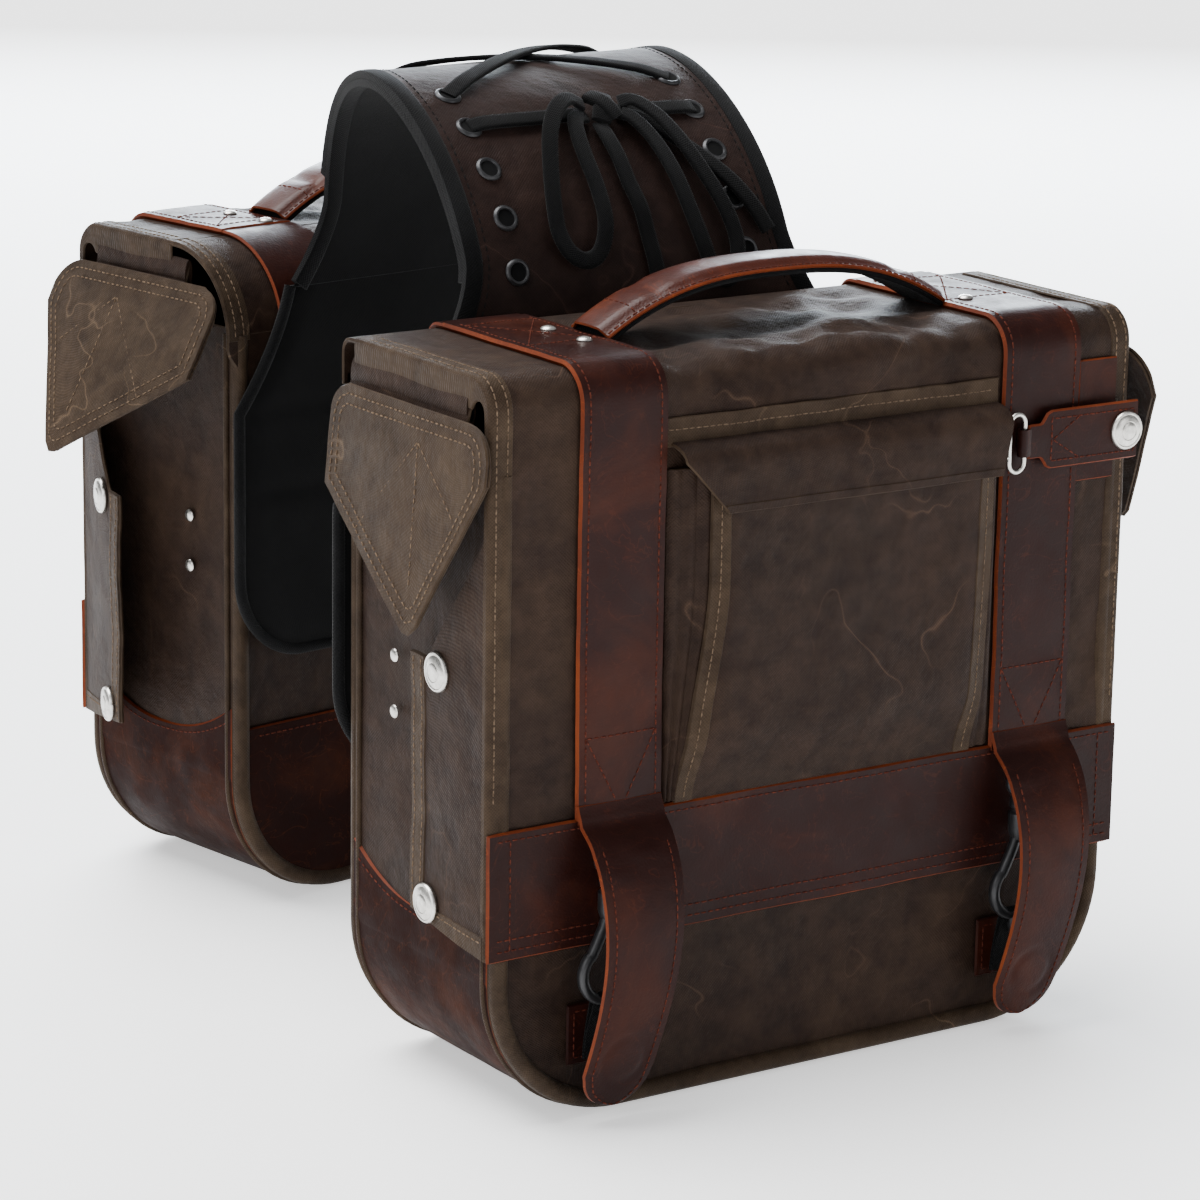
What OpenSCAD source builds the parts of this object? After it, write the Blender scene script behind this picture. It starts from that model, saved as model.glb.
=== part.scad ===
// Throw-over motorcycle saddlebags: two waxed-canvas and leather bags joined by a
// laced yoke that lies over the seat. +Z is up, and the origin is the centre of the
// near bag's base. The far bag is the same bag turned to face the other way.

/* [Bags] */
// Width of one bag
bag_w = 340; // [300:5:380]
// Depth of one bag, front to back
bag_d = 124; // [110:2:150]
// Height to the top of the lid
bag_h = 326; // [290:2:360]
// Height of the bag's own rim, under the lid
rim_z = 288; // [270:1:292]
// Radius of the rounded lower corners
corner_r = 64; // [40:2:80]
// Thickness of a stiffened canvas wall
wall = 3; // [2:0.5:4]
// Height of the leather base
base_h = 90; // [70:5:110]
// Radius of the edge piping
piping_r = 4.5; // [3:0.5:6]

/* [Far bag] */
// How far the far bag turns away from parallel
far_yaw = 9; // [0:1:12]
// Sideways place of the far bag's base centre
far_x = 44; // [0:2:60]
// Distance from the near bag's base centre to the far bag's
far_y = 344; // [330:2:380]

/* [Lid] */
// Thickness of the lid canvas
lid_t = 2; // [1.5:0.5:3]
// Radius of the lid's front top edge
lid_r = 14; // [8:1:20]
// Height of the lid flap's lower edge
lid_low_z = 78; // [70:1:90]
// Height of the leather band along the lower edge
band_h = 55; // [40:1:60]
// Height where the fixed back drop ends
drop_z = 225; // [200:5:240]

/* [Straps] */
// Width of a strap
strap_w = 42; // [34:1:48]
// Distance of the left strap's centre line from the bag's centre
strap_left_x = 105; // [100:1:120]
// Distance of the right strap's centre line from the bag's centre
strap_right_x = 118; // [100:1:125]
// Thickness of strap leather
strap_t = 3; // [2:0.5:4]
// Length of a strap's free tongue
tongue_len = 124; // [100:2:126]
// How far the tongue bows out over its hook
tongue_bow = 19; // [16:1:24]

/* [Pocket] */
// Width of the front pocket
pocket_w = 176; // [150:2:182]
// Depth of the pocket's bellows
pocket_d = 12; // [8:1:16]
// Height of the pocket's mouth
pocket_z = 284; // [276:1:286]

/* [Handle] */
// Width of the handle
handle_w = 28; // [22:1:34]
// Thickness of the padded handle
handle_t = 8; // [6:1:11]
// Clear height under the handle's middle
handle_gap = 22; // [18:1:30]

/* [Yoke] */
// Half width of the arch
yoke_half_w = 87; // [70:1:100]
// Rise of the arch above its feet
yoke_rise = 110; // [90:2:130]
// Thickness of each of the two overlapping layers
yoke_t = 3; // [2:0.5:4]
// Rows of lace eyelets
eyelet_rows = 5; // [3:1:6]
// Distance of each eyelet column from the yoke's centre line
eyelet_u = 62; // [50:1:70]
// Width of the flat lace
lace_w = 8; // [6:1:10]

/* [Hidden] */
$fn = 48;
fit_gap = 0.3;
bead = 2 * piping_r + 0.5;
leather_t = 2.5;
body_y = bag_d / 2 - 5.5;
body_x = bag_w / 2 - 4;
lid_y = body_y + 1;
lid_face = lid_y + lid_t;
band_face = lid_face + leather_t;
strap_face = lid_face + strap_t;
hinge_y = body_y + 0.5;
hinge_z = bag_h - lid_t;
back_face = body_y + 0.5;
drop_face = back_face + leather_t;
strap_back_face = drop_face + leather_t;
pad_t = 5;
pad_y = strap_back_face + fit_gap + pad_t / 2;
band_top = lid_low_z + band_h;
tongue_z = band_top - 2;
snap_r = 8.75;
wing_t = 2.5;
wing_x = body_x + 1.5;
wing_w = bag_d / 2 - 5;
wing_low_z = lid_low_z + 4;
patch_z = 307;
patch_x = wing_x + wing_t + 1.2;
patch_t = 3;
tab_z = 273;
tab_h = 25;
ring_x = 101;
tab_y = strap_face + 3.2;
hook_z = 117;
hook_y = band_face + 6;
handle_y = -3;
handle_half = (strap_left_x + strap_right_x) / 2 - strap_w / 2 - fit_gap;
handle_x = (strap_right_x - strap_left_x) / 2;
flap_z = pocket_z + 3;
pocket_x = 7;
lip_z = 309;
pad_low_z = 128;
pad_flare_z = 249;
foot_z = 308;
flare_top_z = 350;

CANVAS = [0.27, 0.23, 0.2];
LEATHER = [0.36, 0.18, 0.13];
FELT = [0.08, 0.08, 0.08];
METAL = [0.75, 0.75, 0.73];
BLACK_METAL = [0.12, 0.12, 0.13];

// How far each patch and wing hangs away from the bag's end, in degrees
function patch_flare(bag, side) = bag == 0 ? (side < 0 ? 6 : 20) : (side < 0 ? 8 : 28);
function wing_spread(bag, side) = bag == 1 && side > 0 ? 20 : 0;

// ---- Placing helpers ----------------------------------------------------------

// bag 0 is the near bag, bag 1 the far one
module in_bag(bag) {
    if (bag == 0) children();
    else translate([far_x, far_y, 0]) rotate([0, 0, 180 + far_yaw]) children();
}

// Centre line of a strap; side is -1 for the left and 1 for the right
function strap_at(side) = side < 0 ? -strap_left_x : strap_right_x;

// Mirrors a piece drawn on the right to the given side
module on_side(side) {
    mirror([side < 0 ? 1 : 0, 0, 0]) children();
}

// Extrudes an outline drawn in X and Z from y0 to y1
module slab_xz(y0, y1) {
    translate([0, y1, 0]) rotate([90, 0, 0]) linear_extrude(y1 - y0) children();
}

// Extrudes an outline drawn in Y and Z from x0 to x1
module slab_yz(x0, x1) {
    translate([x0, 0, 0]) rotate([90, 0, 90]) linear_extrude(x1 - x0) children();
}

// A plate between two corners
module plate(low, high) {
    translate(low) cube(high - low);
}

// Outline of the bag's front: square at the rim and round at the floor
module bag_outline(half_w, top, r, inset = 0) {
    difference() {
        union() {
            translate([-half_w + inset, r]) square([2 * (half_w - inset), top - r]);
            translate([-half_w + r, inset]) square([2 * (half_w - r), top - inset]);
            for (s = [-1, 1])
                translate([s * (half_w - r), r]) circle(r - inset, $fn = 96);
        }
        translate([-half_w - 1, top]) square([2 * half_w + 2, 2 * r]);
    }
}

// ---- Bag body -------------------------------------------------------------------

module front_panel() {
    slab_xz(-body_y, -body_y + wall) bag_outline(body_x, rim_z, corner_r);
}

module back_panel() {
    slab_xz(body_y - wall, body_y) bag_outline(body_x, rim_z, corner_r);
}

// Canvas end walls above the leather base
module gusset() {
    for (s = [0, 1]) mirror([s, 0, 0])
        plate([body_x - wall, -body_y + wall, base_h], [body_x, body_y - wall, rim_z]);
}

// Leather base: the bag's floor, its round corners and the foot of each end
module base() {
    slab_xz(-body_y + wall, body_y - wall) difference() {
        bag_outline(body_x, base_h, corner_r);
        bag_outline(body_x, base_h + 1, corner_r, wall + 0.5);
    }
    slab_xz(body_y, body_y + 2) bag_outline(body_x, base_h, corner_r, bead);
}

// Lid canvas carried over the back edge and down the back, fixed to the bag
module back_drop() {
    plate([-body_x + bead, back_face, drop_z], [body_x - bead, drop_face, rim_z + 1]);
    plate([-bag_w / 2, back_face, rim_z + 1], [bag_w / 2, drop_face, hinge_z - 3]);
    plate([-bag_w / 2, body_y - wall, rim_z + 1], [bag_w / 2, back_face, rim_z + 6]);
}

module strap_back() {
    for (s = [-1, 1])
        plate([strap_at(s) - strap_w / 2, drop_face, drop_z - 6],
              [strap_at(s) + strap_w / 2, strap_back_face, hinge_z - 3]);
}

// Half-round bead of piping along the edge of the front or back, up to a given height
module piping_run(y, top) {
    bend = corner_r - piping_r;
    difference() {
        union() {
            for (s = [-1, 1]) {
                translate([s * (body_x - piping_r), y, corner_r])
                    cylinder(h = top - corner_r, r = piping_r);
                translate([s * (body_x - corner_r), y, corner_r]) rotate([90, 0, 0])
                    rotate([0, 0, s > 0 ? 270 : 180])
                    rotate_extrude(angle = 90, $fn = 96) translate([bend, 0]) circle(piping_r);
            }
            translate([-body_x + corner_r, y, piping_r]) rotate([0, 90, 0])
                cylinder(h = 2 * (body_x - corner_r), r = piping_r);
        }
        slab_xz(-body_y, body_y) bag_outline(body_x, bag_h, corner_r);
    }
}

module end_rivet_pair() {
    for (s = [0, 1], z = [167, 192]) mirror([s, 0, 0])
        translate([body_x, bag_d / 2 - 40, z]) rotate([0, 90, 0]) rivet(3, 1.2);
}

// Domed rivet head standing on a surface
module rivet(r, h) {
    intersection() {
        cylinder(h = h, r = r);
        translate([0, 0, h - (r * r + h * h) / (2 * h)]) sphere((r * r + h * h) / (2 * h));
    }
}

// Leather tabs that hold the lower snap rings, on the front below the lid
module anchor_tab() {
    for (s = [-1, 1]) translate([strap_at(s), 0, 0]) {
        plate([-22, -body_y - 2, 24], [4, -body_y, 50]);
        plate([-9, -body_y - 2, 15.5], [3, -body_y, 23.6]);
    }
}

// ---- Lid ------------------------------------------------------------------------

// Lid section: flat top, round front edge and the flap down the front
module lid_section(top, low, face, t) {
    difference() {
        union() {
            translate([-face, low]) square([face - lid_y + t, top - lid_r - low]);
            translate([-face + lid_r, top - t]) square([hinge_y + face - lid_r, t]);
            translate([-face + lid_r, top - lid_r]) circle(lid_r);
        }
        translate([-face + t, low - 1]) square([face + hinge_y, top - lid_r + 1 - low]);
        translate([-face + lid_r, top - lid_r]) circle(lid_r - t);
        translate([-face + lid_r, low]) square([face + hinge_y, top - t - low]);
    }
}

module lid() {
    slab_yz(-bag_w / 2, bag_w / 2) lid_section(bag_h, lid_low_z, lid_face, lid_t);
    for (s = [0, 1]) mirror([s, 0, 0]) {
        plate([wing_x, -lid_y + lid_r, lip_z], [bag_w / 2, hinge_y - 6, bag_h - lid_t]);
    }
}

module band() {
    plate([-bag_w / 2, -band_face, lid_low_z], [bag_w / 2, -lid_face, band_top]);
}

// Straps over the lid, and the keeper that the side tab runs under
module straps() {
    for (s = [-1, 1]) slab_yz(strap_at(s) - strap_w / 2, strap_at(s) + strap_w / 2)
        difference() {
            lid_section(bag_h + strap_t, band_top, strap_face, strap_t);
            translate([hinge_y - 1, 0]) square([5, bag_h + 10]);
        }
    plate([strap_right_x + strap_w / 2 + 1, -lid_face - 2, tab_z - 22],
          [strap_right_x + strap_w / 2 + 22, -lid_face, tab_z + 32]);
}

module pocket() {
    x0 = pocket_x - pocket_w / 2;
    x1 = pocket_x + pocket_w / 2;
    face = lid_face + pocket_d;
    plate([x0, -face, band_top + 1], [x1, -face + 2, pocket_z]);
    for (x = [x0, x1 - 2])
        plate([x, -face + 2, band_top + 1], [x + 2, -lid_face, pocket_z]);
    plate([x0 + 2, -face + 2, band_top + 1], [x1 - 2, -lid_face, band_top + 3]);
}

// Flap that folds from the lid over the pocket's mouth
module pocket_flap() {
    face = lid_face + pocket_d + 1;
    half = pocket_w / 2;
    intersection() {
        slab_yz(pocket_x - half, pocket_x + half) polygon([
            [-lid_face - fit_gap, flap_z], [-lid_face - fit_gap, flap_z + 4],
            [-face - 2, flap_z + 0.5], [-face - 2, 262], [-face, 262], [-face, flap_z - 1]]);
        slab_xz(-face - 3, -lid_face) polygon([
            [pocket_x - half, flap_z + 5], [pocket_x + half, flap_z + 5],
            [pocket_x + half, flap_z - 4], [pocket_x + half - 6, 262],
            [pocket_x - half + 22, 262], [pocket_x - half, flap_z - 4]]);
    }
}

// Padded handle: an arc that rises from the inner edge of each strap
function handle_mid(x) = bag_h + handle_t / 2 + 0.2
    + handle_gap * (1 - pow(abs(x) / handle_half, 2.6));

module handle() {
    n = 28;
    line = [for (i = [0:n]) let (x = handle_half * cos(180 - 180 * i / n)) [x + handle_x, handle_mid(x)]];
    upper = [for (p = line) p + [0, handle_t / 2]];
    lower = [for (i = [n:-1:0]) line[i] - [0, handle_t / 2]];
    slab_xz(handle_y - handle_w / 2, handle_y + handle_w / 2) polygon(concat(upper, lower));
}

module strap_rivets() {
    for (s = [-1, 1], dy = [-14, 14])
        translate([strap_at(s) - 9 * s, handle_y + dy, bag_h + strap_t]) rivet(3.5, 1.6);
}

// Leather pull tab with its snap, hinged on the wire ring
module side_tab() {
    slab_xz(-tab_y - 2.5, -tab_y) difference() {
        union() {
            translate([ring_x + 14, tab_z - tab_h / 2]) square([54, tab_h]);
            translate([ring_x + 5.8, tab_z - 7]) square([10, 14]);
        }
        translate([ring_x + 8.5, tab_z]) circle(2);
    }
}

module tab_snap() {
    translate([162, -tab_y - 2.5, tab_z]) rotate([90, 0, 0]) snap_cap();
}

// Domed snap cap with a rolled rim
module snap_cap() {
    cylinder(h = 1.4, r = snap_r);
    translate([0, 0, 1.4]) intersection() {
        cylinder(h = 2, r = snap_r - 0.8);
        translate([0, 0, 2 - 18]) sphere(18, $fn = 64);
    }
}

// Oblong wire ring that the tab hangs on, with two short wires into the pocket seam
module tab_ring() {
    wire = 1.1;
    half_h = 13;
    half_w = 4.2;
    y = -tab_y - 1;
    for (s = [-1, 1]) {
        translate([ring_x + s * half_w, y, tab_z - half_h + half_w])
            cylinder(h = 2 * (half_h - half_w), r = wire, $fn = 24);
        translate([ring_x, y, tab_z + s * (half_h - half_w)]) rotate([90, 0, 0])
            rotate([0, 0, s > 0 ? 0 : 180])
            rotate_extrude(angle = 180, $fn = 48) translate([half_w, 0]) circle(wire, $fn = 24);
        translate([ring_x - half_w, y, tab_z + s * 6]) rotate([0, -90, 0])
            translate([0, 0, wire]) cylinder(h = 0.5, r = 0.8, $fn = 24);
    }
}

// ---- Tongues and hooks ----------------------------------------------------------

// The tongue's centre line seen from the side: out over the hook and back in
function tongue_y(t) = -(lid_face + leather_t + 2) - tongue_bow * sin(180 * pow(t, 0.7)) - 6 * t;

function tongue_half(t) = strap_w / 2 - 3.5 * sin(90 * t);

// The tongue narrows to a round tip that leans to the left
module tongue() {
    n = 22;
    outer = [for (i = [0:n]) let (t = i / n) [tongue_y(t) - 2.4, tongue_z - t * tongue_len]];
    inner = [for (i = [n:-1:0]) let (t = i / n) [tongue_y(t), tongue_z - t * tongue_len]];
    tip = 17;
    lean = 7;
    steps = 16;
    low_z = tongue_z - tongue_len + tip;
    function shift(i) = -lean * pow(i / steps, 2);
    rows = [for (i = [0:steps]) let (t = i / steps * (1 - tip / tongue_len))
        [tongue_half(t), tongue_z - t * tongue_len, shift(i)]];
    right = [for (r = rows) [r[0] + r[2], r[1]]];
    round_end = [for (a = [15:15:165]) [tip * cos(a) - lean, low_z - tip * sin(a)]];
    left = [for (i = [steps:-1:0]) [-rows[i][0] + rows[i][2], rows[i][1]]];
    intersection() {
        slab_yz(-34, 34) polygon(concat(outer, inner));
        slab_xz(-120, -40) polygon(concat(right, round_end, left));
    }
}

// Black snap hook: eye, neck and a teardrop ring closed by its gate
module hook() {
    slab_xz(-hook_y - 2.5, -hook_y + 2.5) difference() {
        union() {
            translate([0, hook_z]) circle(8);
            translate([-4.5, 88]) square([9, 26]);
            translate([-1, 66]) circle(14.5);
            polygon([[-9, 78], [7, 78], [4.5, 95], [-4.5, 95]]);
            translate([0, 49]) circle(6);
        }
        translate([0, hook_z]) circle(4.2);
        translate([-1, 67]) circle(9);
        polygon([[-8, 72], [6, 72], [0.5, 86], [-2.5, 86]]);
    }
}

// ---- Ends: wings and patches ----------------------------------------------------

// Flap that folds from the lid's front corner round the bag's end, drawn on the right
module wing_plate(spread) {
    y0 = -lid_y + fit_gap;
    translate([bag_w / 2, y0, 0]) rotate([0, 0, -spread]) translate([-bag_w / 2, -y0, 0])
        slab_yz(wing_x, wing_x + wing_t) polygon([
            [y0, wing_low_z - 4], [y0 + wing_w, wing_low_z + 4],
            [y0 + wing_w, 200], [-14, 200], [y0, 260]]);
}

module wing_snap_pair(spread) {
    y0 = -lid_y + fit_gap;
    translate([bag_w / 2, y0, 0]) rotate([0, 0, -spread]) translate([-bag_w / 2, -y0, 0])
        for (p = [[-23, 196], [-15, 92]])
            translate([wing_x + wing_t, p[0], p[1]]) rotate([0, 90, 0]) snap_cap();
}

// Five-sided patch that hangs from the lid's end edge, drawn on the right
module patch_plate(flare) {
    translate([patch_x, 0, patch_z]) rotate([0, -flare, 0]) translate([-patch_x, 0, -patch_z])
        slab_yz(patch_x, patch_x + patch_t) polygon(concat(
            [for (a = [90:-15:0]) [bag_d / 2 - 16 + 13 * cos(a), patch_z - 14 + 13 * sin(a)]],
            [[bag_d / 2 - 3, 262], [bag_d / 2 - 78, 211], [bag_d / 2 - 84, 213]],
            [for (a = [180:-15:90]) [-bag_d / 2 + 12 + 16 * cos(a), patch_z - 17 + 16 * sin(a)]]));
}

// ---- Yoke -----------------------------------------------------------------------

function bag_point(bag, p) = bag == 0 ? p
    : let (a = 180 + far_yaw) [far_x + cos(a) * p[0] - sin(a) * p[1],
                               far_y + sin(a) * p[0] + cos(a) * p[1], p[2]];
function unit(v) = v / norm(v);

near_foot = bag_point(0, [0, pad_y + 1, foot_z]);
far_foot = bag_point(1, [0, pad_y, foot_z]);

// The arch runs from the near foot at q = 0 over its top at q = 90 to the far foot at 180
function arch_part(q) = (1 - cos(q)) / 2;
function arch_shift(h) = -13 * (1 - h) - 30 * h - 52 * h * (1 - h);
function arch_mid(q) = let (h = arch_part(q)) [
    near_foot[0] + (far_foot[0] - near_foot[0]) * h,
    near_foot[1] + (far_foot[1] - near_foot[1]) * h,
    foot_z + yoke_rise * sin(q)];
function arch_across(q) = let (a = far_yaw * arch_part(q)) [cos(a), sin(a), 0];
function arch_along(q) = unit(arch_mid(q + 0.5) - arch_mid(q - 0.5));
function arch_out(q) = unit(cross(arch_across(q), arch_along(q)));
function arch_half_w(z) = z >= flare_top_z ? yoke_half_w
    : yoke_half_w + (bag_w / 2 - 2 - yoke_half_w)
        * pow((flare_top_z - z) / (flare_top_z - pad_flare_z), 1.6);

// A point on the yoke: u across it, and off outwards from the middle surface
function arch_point(q, u, off) = arch_mid(q)
    + arch_across(q) * (u + arch_shift(arch_part(q))) + arch_out(q) * off;

// A strip of the arch between two angles, two widths and two offsets
module arch_strip(q0, q1, u_low, u_high, off0, off1) {
    n = ceil((q1 - q0) / 5);
    points = [for (i = [0:n]) let (q = q0 + (q1 - q0) * i / n, hw = arch_half_w(arch_mid(q)[2]))
        each [arch_point(q, u_low[0] * hw + u_low[1], off0),
              arch_point(q, u_high[0] * hw + u_high[1], off0),
              arch_point(q, u_high[0] * hw + u_high[1], off1),
              arch_point(q, u_low[0] * hw + u_low[1], off1)]];
    sides = [for (i = [0:n - 1], k = [0:3]) let (a = 4 * i, k1 = (k + 1) % 4)
        each [[a + k, a + k1, a + 4 + k1], [a + k, a + 4 + k1, a + 4 + k]]];
    polyhedron(points, concat([[3, 2, 1, 0]], sides, [[4 * n, 4 * n + 1, 4 * n + 2, 4 * n + 3]]));
}

edge_w = 8;
upper_off = [0.3, 0.3 + yoke_t];
lower_off = [-yoke_t - 0.1, -0.1];
upper_end = 151;
lower_start = 17;

module yoke_upper() {
    arch_strip(0, upper_end, [-1, edge_w], [1, -edge_w], upper_off[0], upper_off[1]);
}

module yoke_lower() {
    arch_strip(lower_start, 180, [-1, edge_w], [1, -edge_w], lower_off[0], lower_off[1]);
}

module yoke_binding() {
    for (s = [-1, 1]) {
        low = s < 0 ? [-1, 0] : [1, -edge_w];
        high = s < 0 ? [-1, edge_w] : [1, 0];
        arch_strip(0, upper_end, low, high, upper_off[0], upper_off[1]);
        arch_strip(lower_start, 180, low, high, lower_off[0], lower_off[1]);
    }
}

// Padded black panel of each bag's back, flaring up into the yoke's foot
module yoke_pad(bag) {
    n = 10;
    shift = bag == 0 ? arch_shift(0) : -arch_shift(1);
    rise = [for (i = [0:n]) let (t = i / n) [t, pad_flare_z + (foot_z - pad_flare_z) * t]];
    slab_xz(pad_y - pad_t / 2, pad_y + pad_t / 2) polygon(concat(
        [for (a = [180:15:270]) [-128 + 40 * cos(a), pad_low_z + 40 + 40 * sin(a)]],
        [for (a = [270:15:360]) [128 + 40 * cos(a), pad_low_z + 40 + 40 * sin(a)]],
        [for (p = rise) [arch_half_w(p[1]) + shift * p[0], p[1]]],
        [for (i = [n:-1:0]) let (p = rise[i]) [-arch_half_w(p[1]) + shift * p[0], p[1]]]));
}

first_row = 69;
row_step = 12.7;
function row_q(i) = first_row - row_step * i;
row_list = concat([111], [for (i = [0:eyelet_rows - 1]) row_q(i)]);

// Turns a piece's own X, Y and Z to across, along and outwards at a place on the yoke
module on_yoke(q, u, off) {
    a = arch_across(q);
    c = arch_out(q);
    b = cross(c, a);
    p = arch_point(q, u, off);
    multmatrix([[a[0], b[0], c[0], p[0]], [a[1], b[1], c[1], p[1]], [a[2], b[2], c[2], p[2]]])
        children();
}

module yoke_eyelets() {
    for (q = row_list, s = [-1, 1]) on_yoke(q, s * eyelet_u, upper_off[1] + 0.15)
        rotate_extrude() translate([4.2, 0]) square([2, 0.9]);
}

// ---- Lace -----------------------------------------------------------------------

lace_t = 2.4;
lace_off = upper_off[1] + 1.3 + lace_t / 2;
knot_u = 8;
knot_q = row_q(1);

// Flat band swept along points, its width kept in the yoke's surface
function lace_ring(points, ups, i, half_w, half_t) =
    let (n = len(points), a = points[max(i - 1, 0)], b = points[min(i + 1, n - 1)],
         t = unit(b - a), side = unit(cross(t, ups[i])), up = cross(side, t))
    [for (k = [0:7]) let (w = k * 45) points[i] + side * half_w * cos(w) + up * half_t * sin(w)];

module swept_band(points, ups, half_w, half_t) {
    n = len(points);
    rings = [for (i = [0:n - 1]) each lace_ring(points, ups, i, half_w, half_t)];
    sides = [for (i = [0:n - 2], k = [0:7]) let (a = 8 * i, k1 = (k + 1) % 8)
        each [[a + k, a + k1, a + 8 + k1], [a + k, a + 8 + k1, a + 8 + k]]];
    polyhedron(rings, concat([[for (k = [7:-1:0]) k]], sides,
                             [[for (k = [0:7]) 8 * (n - 1) + k]]));
}

// A route on the yoke is a list of [across, angle along the arch, height above it]
module lace_on_yoke(route) {
    points = [for (r = route) arch_point(r[1], r[0], lace_off + r[2])];
    ups = [for (r = route) arch_out(r[1])];
    swept_band(points, ups, lace_w / 2, lace_t / 2);
}

// Straight run of lace between two places on the yoke
function lace_run(a, b, lift) =
    [for (i = [0:12]) let (t = i / 12) a + (b - a) * t + [0, 0, lift * sin(180 * t)]];

// Free loops and tails of the bow: [across, angle along the arch, height above it]
loop_left = [[-2, 57, 4], [-10, 58, 7], [-20, 55, 8], [-29, 49, 7], [-35, 41, 5], [-39, 33, 4],
             [-40, 26, 3], [-36, 21, 3], [-28, 19, 3], [-20, 21, 3], [-15, 27, 4], [-14, 35, 4],
             [-15, 43, 5], [-13, 50, 5], [-8, 54, 3], [-2, 55, 1]];
loop_right = [[18, 57, 4], [24, 56, 7], [31, 51, 8], [38, 44, 7], [45, 36, 5], [51, 28, 4],
              [54, 21, 3], [52, 15, 3], [46, 12, 3], [39, 14, 3], [35, 20, 4], [32, 28, 4],
              [29, 37, 5], [25, 46, 5], [20, 52, 4.6], [16, 54, 3.8]];
tail_left = [[4, 52, 1], [3, 48, 3], [4, 42, 3], [5, 36, 2], [7, 30, 2], [8, 24, 1], [9, 18, 1],
             [10, 12, 1]];
tail_right = [[20, 55, 0.6], [28, 53, 1], [36, 49, 1], [45, 44, 1], [54, 39, 1], [62, 34, 1],
              [69, 28, 1], [74, 22, 1]];

module lace_crossings() {
    top = 111;
    for (s = [-1, 1])
        lace_on_yoke(lace_run([s * eyelet_u, top, 0], [-s * eyelet_u, row_q(0), 0], 1.5 + s * 1.5));
    lace_on_yoke(lace_run([-eyelet_u, knot_q, 0], [knot_u - 10, knot_q, 0.5], 0));
    lace_on_yoke(lace_run([knot_u + 10, knot_q, 0.5], [eyelet_u, knot_q, 0], 0));
    on_yoke(knot_q, knot_u, lace_off + 2.7) scale([1, 0.75, 0.45]) sphere(10, $fn = 24);
}

// ---- Assembly -------------------------------------------------------------------

module both_bags() {
    for (bag = [0, 1]) in_bag(bag) children();
}

color(CANVAS) both_bags() front_panel();  // front_panels
color(CANVAS) both_bags() back_panel();  // back_panels
color(CANVAS) both_bags() gusset();  // gussets
color(LEATHER) in_bag(0) base();  // near_base
color(LEATHER) in_bag(1) base();  // far_base
color(CANVAS) both_bags() back_drop();  // back_drops
color(LEATHER) both_bags() strap_back();  // strap_backs
color(CANVAS) both_bags() {  // piping
    piping_run(-body_y, lid_low_z - 4);
    piping_run(body_y, rim_z);
}
color(METAL) both_bags() end_rivet_pair();  // end_rivets
color(LEATHER) both_bags() anchor_tab();  // anchor_tabs
color(FELT) for (bag = [0, 1]) in_bag(bag) yoke_pad(bag);  // yoke_pads
color(CANVAS) yoke_upper();
color(CANVAS) yoke_lower();
color(FELT) yoke_binding();
color(BLACK_METAL) yoke_eyelets();
color(FELT) lace_crossings();
color(FELT) lace_on_yoke(loop_left);  // lace_loop_left
color(FELT) lace_on_yoke(loop_right);  // lace_loop_right
color(FELT) lace_on_yoke(tail_left);  // lace_tail_left
color(FELT) lace_on_yoke(tail_right);  // lace_tail_right

for (bag = [0, 1]) {
    name = bag == 0 ? "near_" : "far_";
    color(CANVAS) in_bag(bag) lid();
    color(LEATHER) in_bag(bag) band();
    color(LEATHER) in_bag(bag) straps();
    color(CANVAS) in_bag(bag) pocket();
    color(CANVAS) in_bag(bag) pocket_flap();
    color(LEATHER) in_bag(bag) handle();
    color(METAL) in_bag(bag) strap_rivets();
    color(LEATHER) in_bag(bag) side_tab();
    color(METAL) in_bag(bag) tab_snap();
    color(METAL) in_bag(bag) tab_ring();
    for (side = [-1, 1]) {
        end = side < 0 ? "left" : "right";
        color(LEATHER)
            in_bag(bag) translate([strap_at(side), 0, 0]) tongue();
        color(BLACK_METAL)
            in_bag(bag) translate([strap_at(side) - 8, 0, 0]) hook();
        color(CANVAS)
            in_bag(bag) on_side(side) patch_plate(patch_flare(bag, side));
        color(CANVAS)
            in_bag(bag) on_side(side) wing_plate(wing_spread(bag, side));
        color(METAL)
            in_bag(bag) on_side(side) wing_snap_pair(wing_spread(bag, side));
    }
}
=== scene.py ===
import math

import bpy
import numpy as np
from mathutils import Matrix, Vector, noise


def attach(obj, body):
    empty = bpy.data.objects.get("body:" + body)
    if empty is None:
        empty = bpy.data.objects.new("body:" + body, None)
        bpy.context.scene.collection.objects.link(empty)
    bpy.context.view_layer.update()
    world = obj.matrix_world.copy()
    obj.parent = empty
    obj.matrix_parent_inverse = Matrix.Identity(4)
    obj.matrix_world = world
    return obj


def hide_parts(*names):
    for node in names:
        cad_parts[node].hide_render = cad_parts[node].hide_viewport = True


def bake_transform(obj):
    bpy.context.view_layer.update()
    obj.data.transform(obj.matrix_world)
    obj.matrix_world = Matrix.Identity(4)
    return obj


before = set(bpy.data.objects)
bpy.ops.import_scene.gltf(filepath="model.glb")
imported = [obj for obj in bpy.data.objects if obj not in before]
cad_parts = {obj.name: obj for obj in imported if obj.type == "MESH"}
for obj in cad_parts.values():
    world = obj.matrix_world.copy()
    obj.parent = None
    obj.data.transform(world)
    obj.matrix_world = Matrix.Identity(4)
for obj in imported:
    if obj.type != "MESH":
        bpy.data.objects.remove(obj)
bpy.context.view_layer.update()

# Design sizes are in millimetres, in each bag's own frame: X right, -Y to its front, Z up,
# origin at its base centre. place() turns them to metres in the row frame.
MM = 0.001
BAG_W, BAG_D, BAG_H = 340, 124, 326
BODY_X, BODY_Y = 166, 56.5
RIM_Z, CORNER_R, BASE_H = 288, 64, 90
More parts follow.
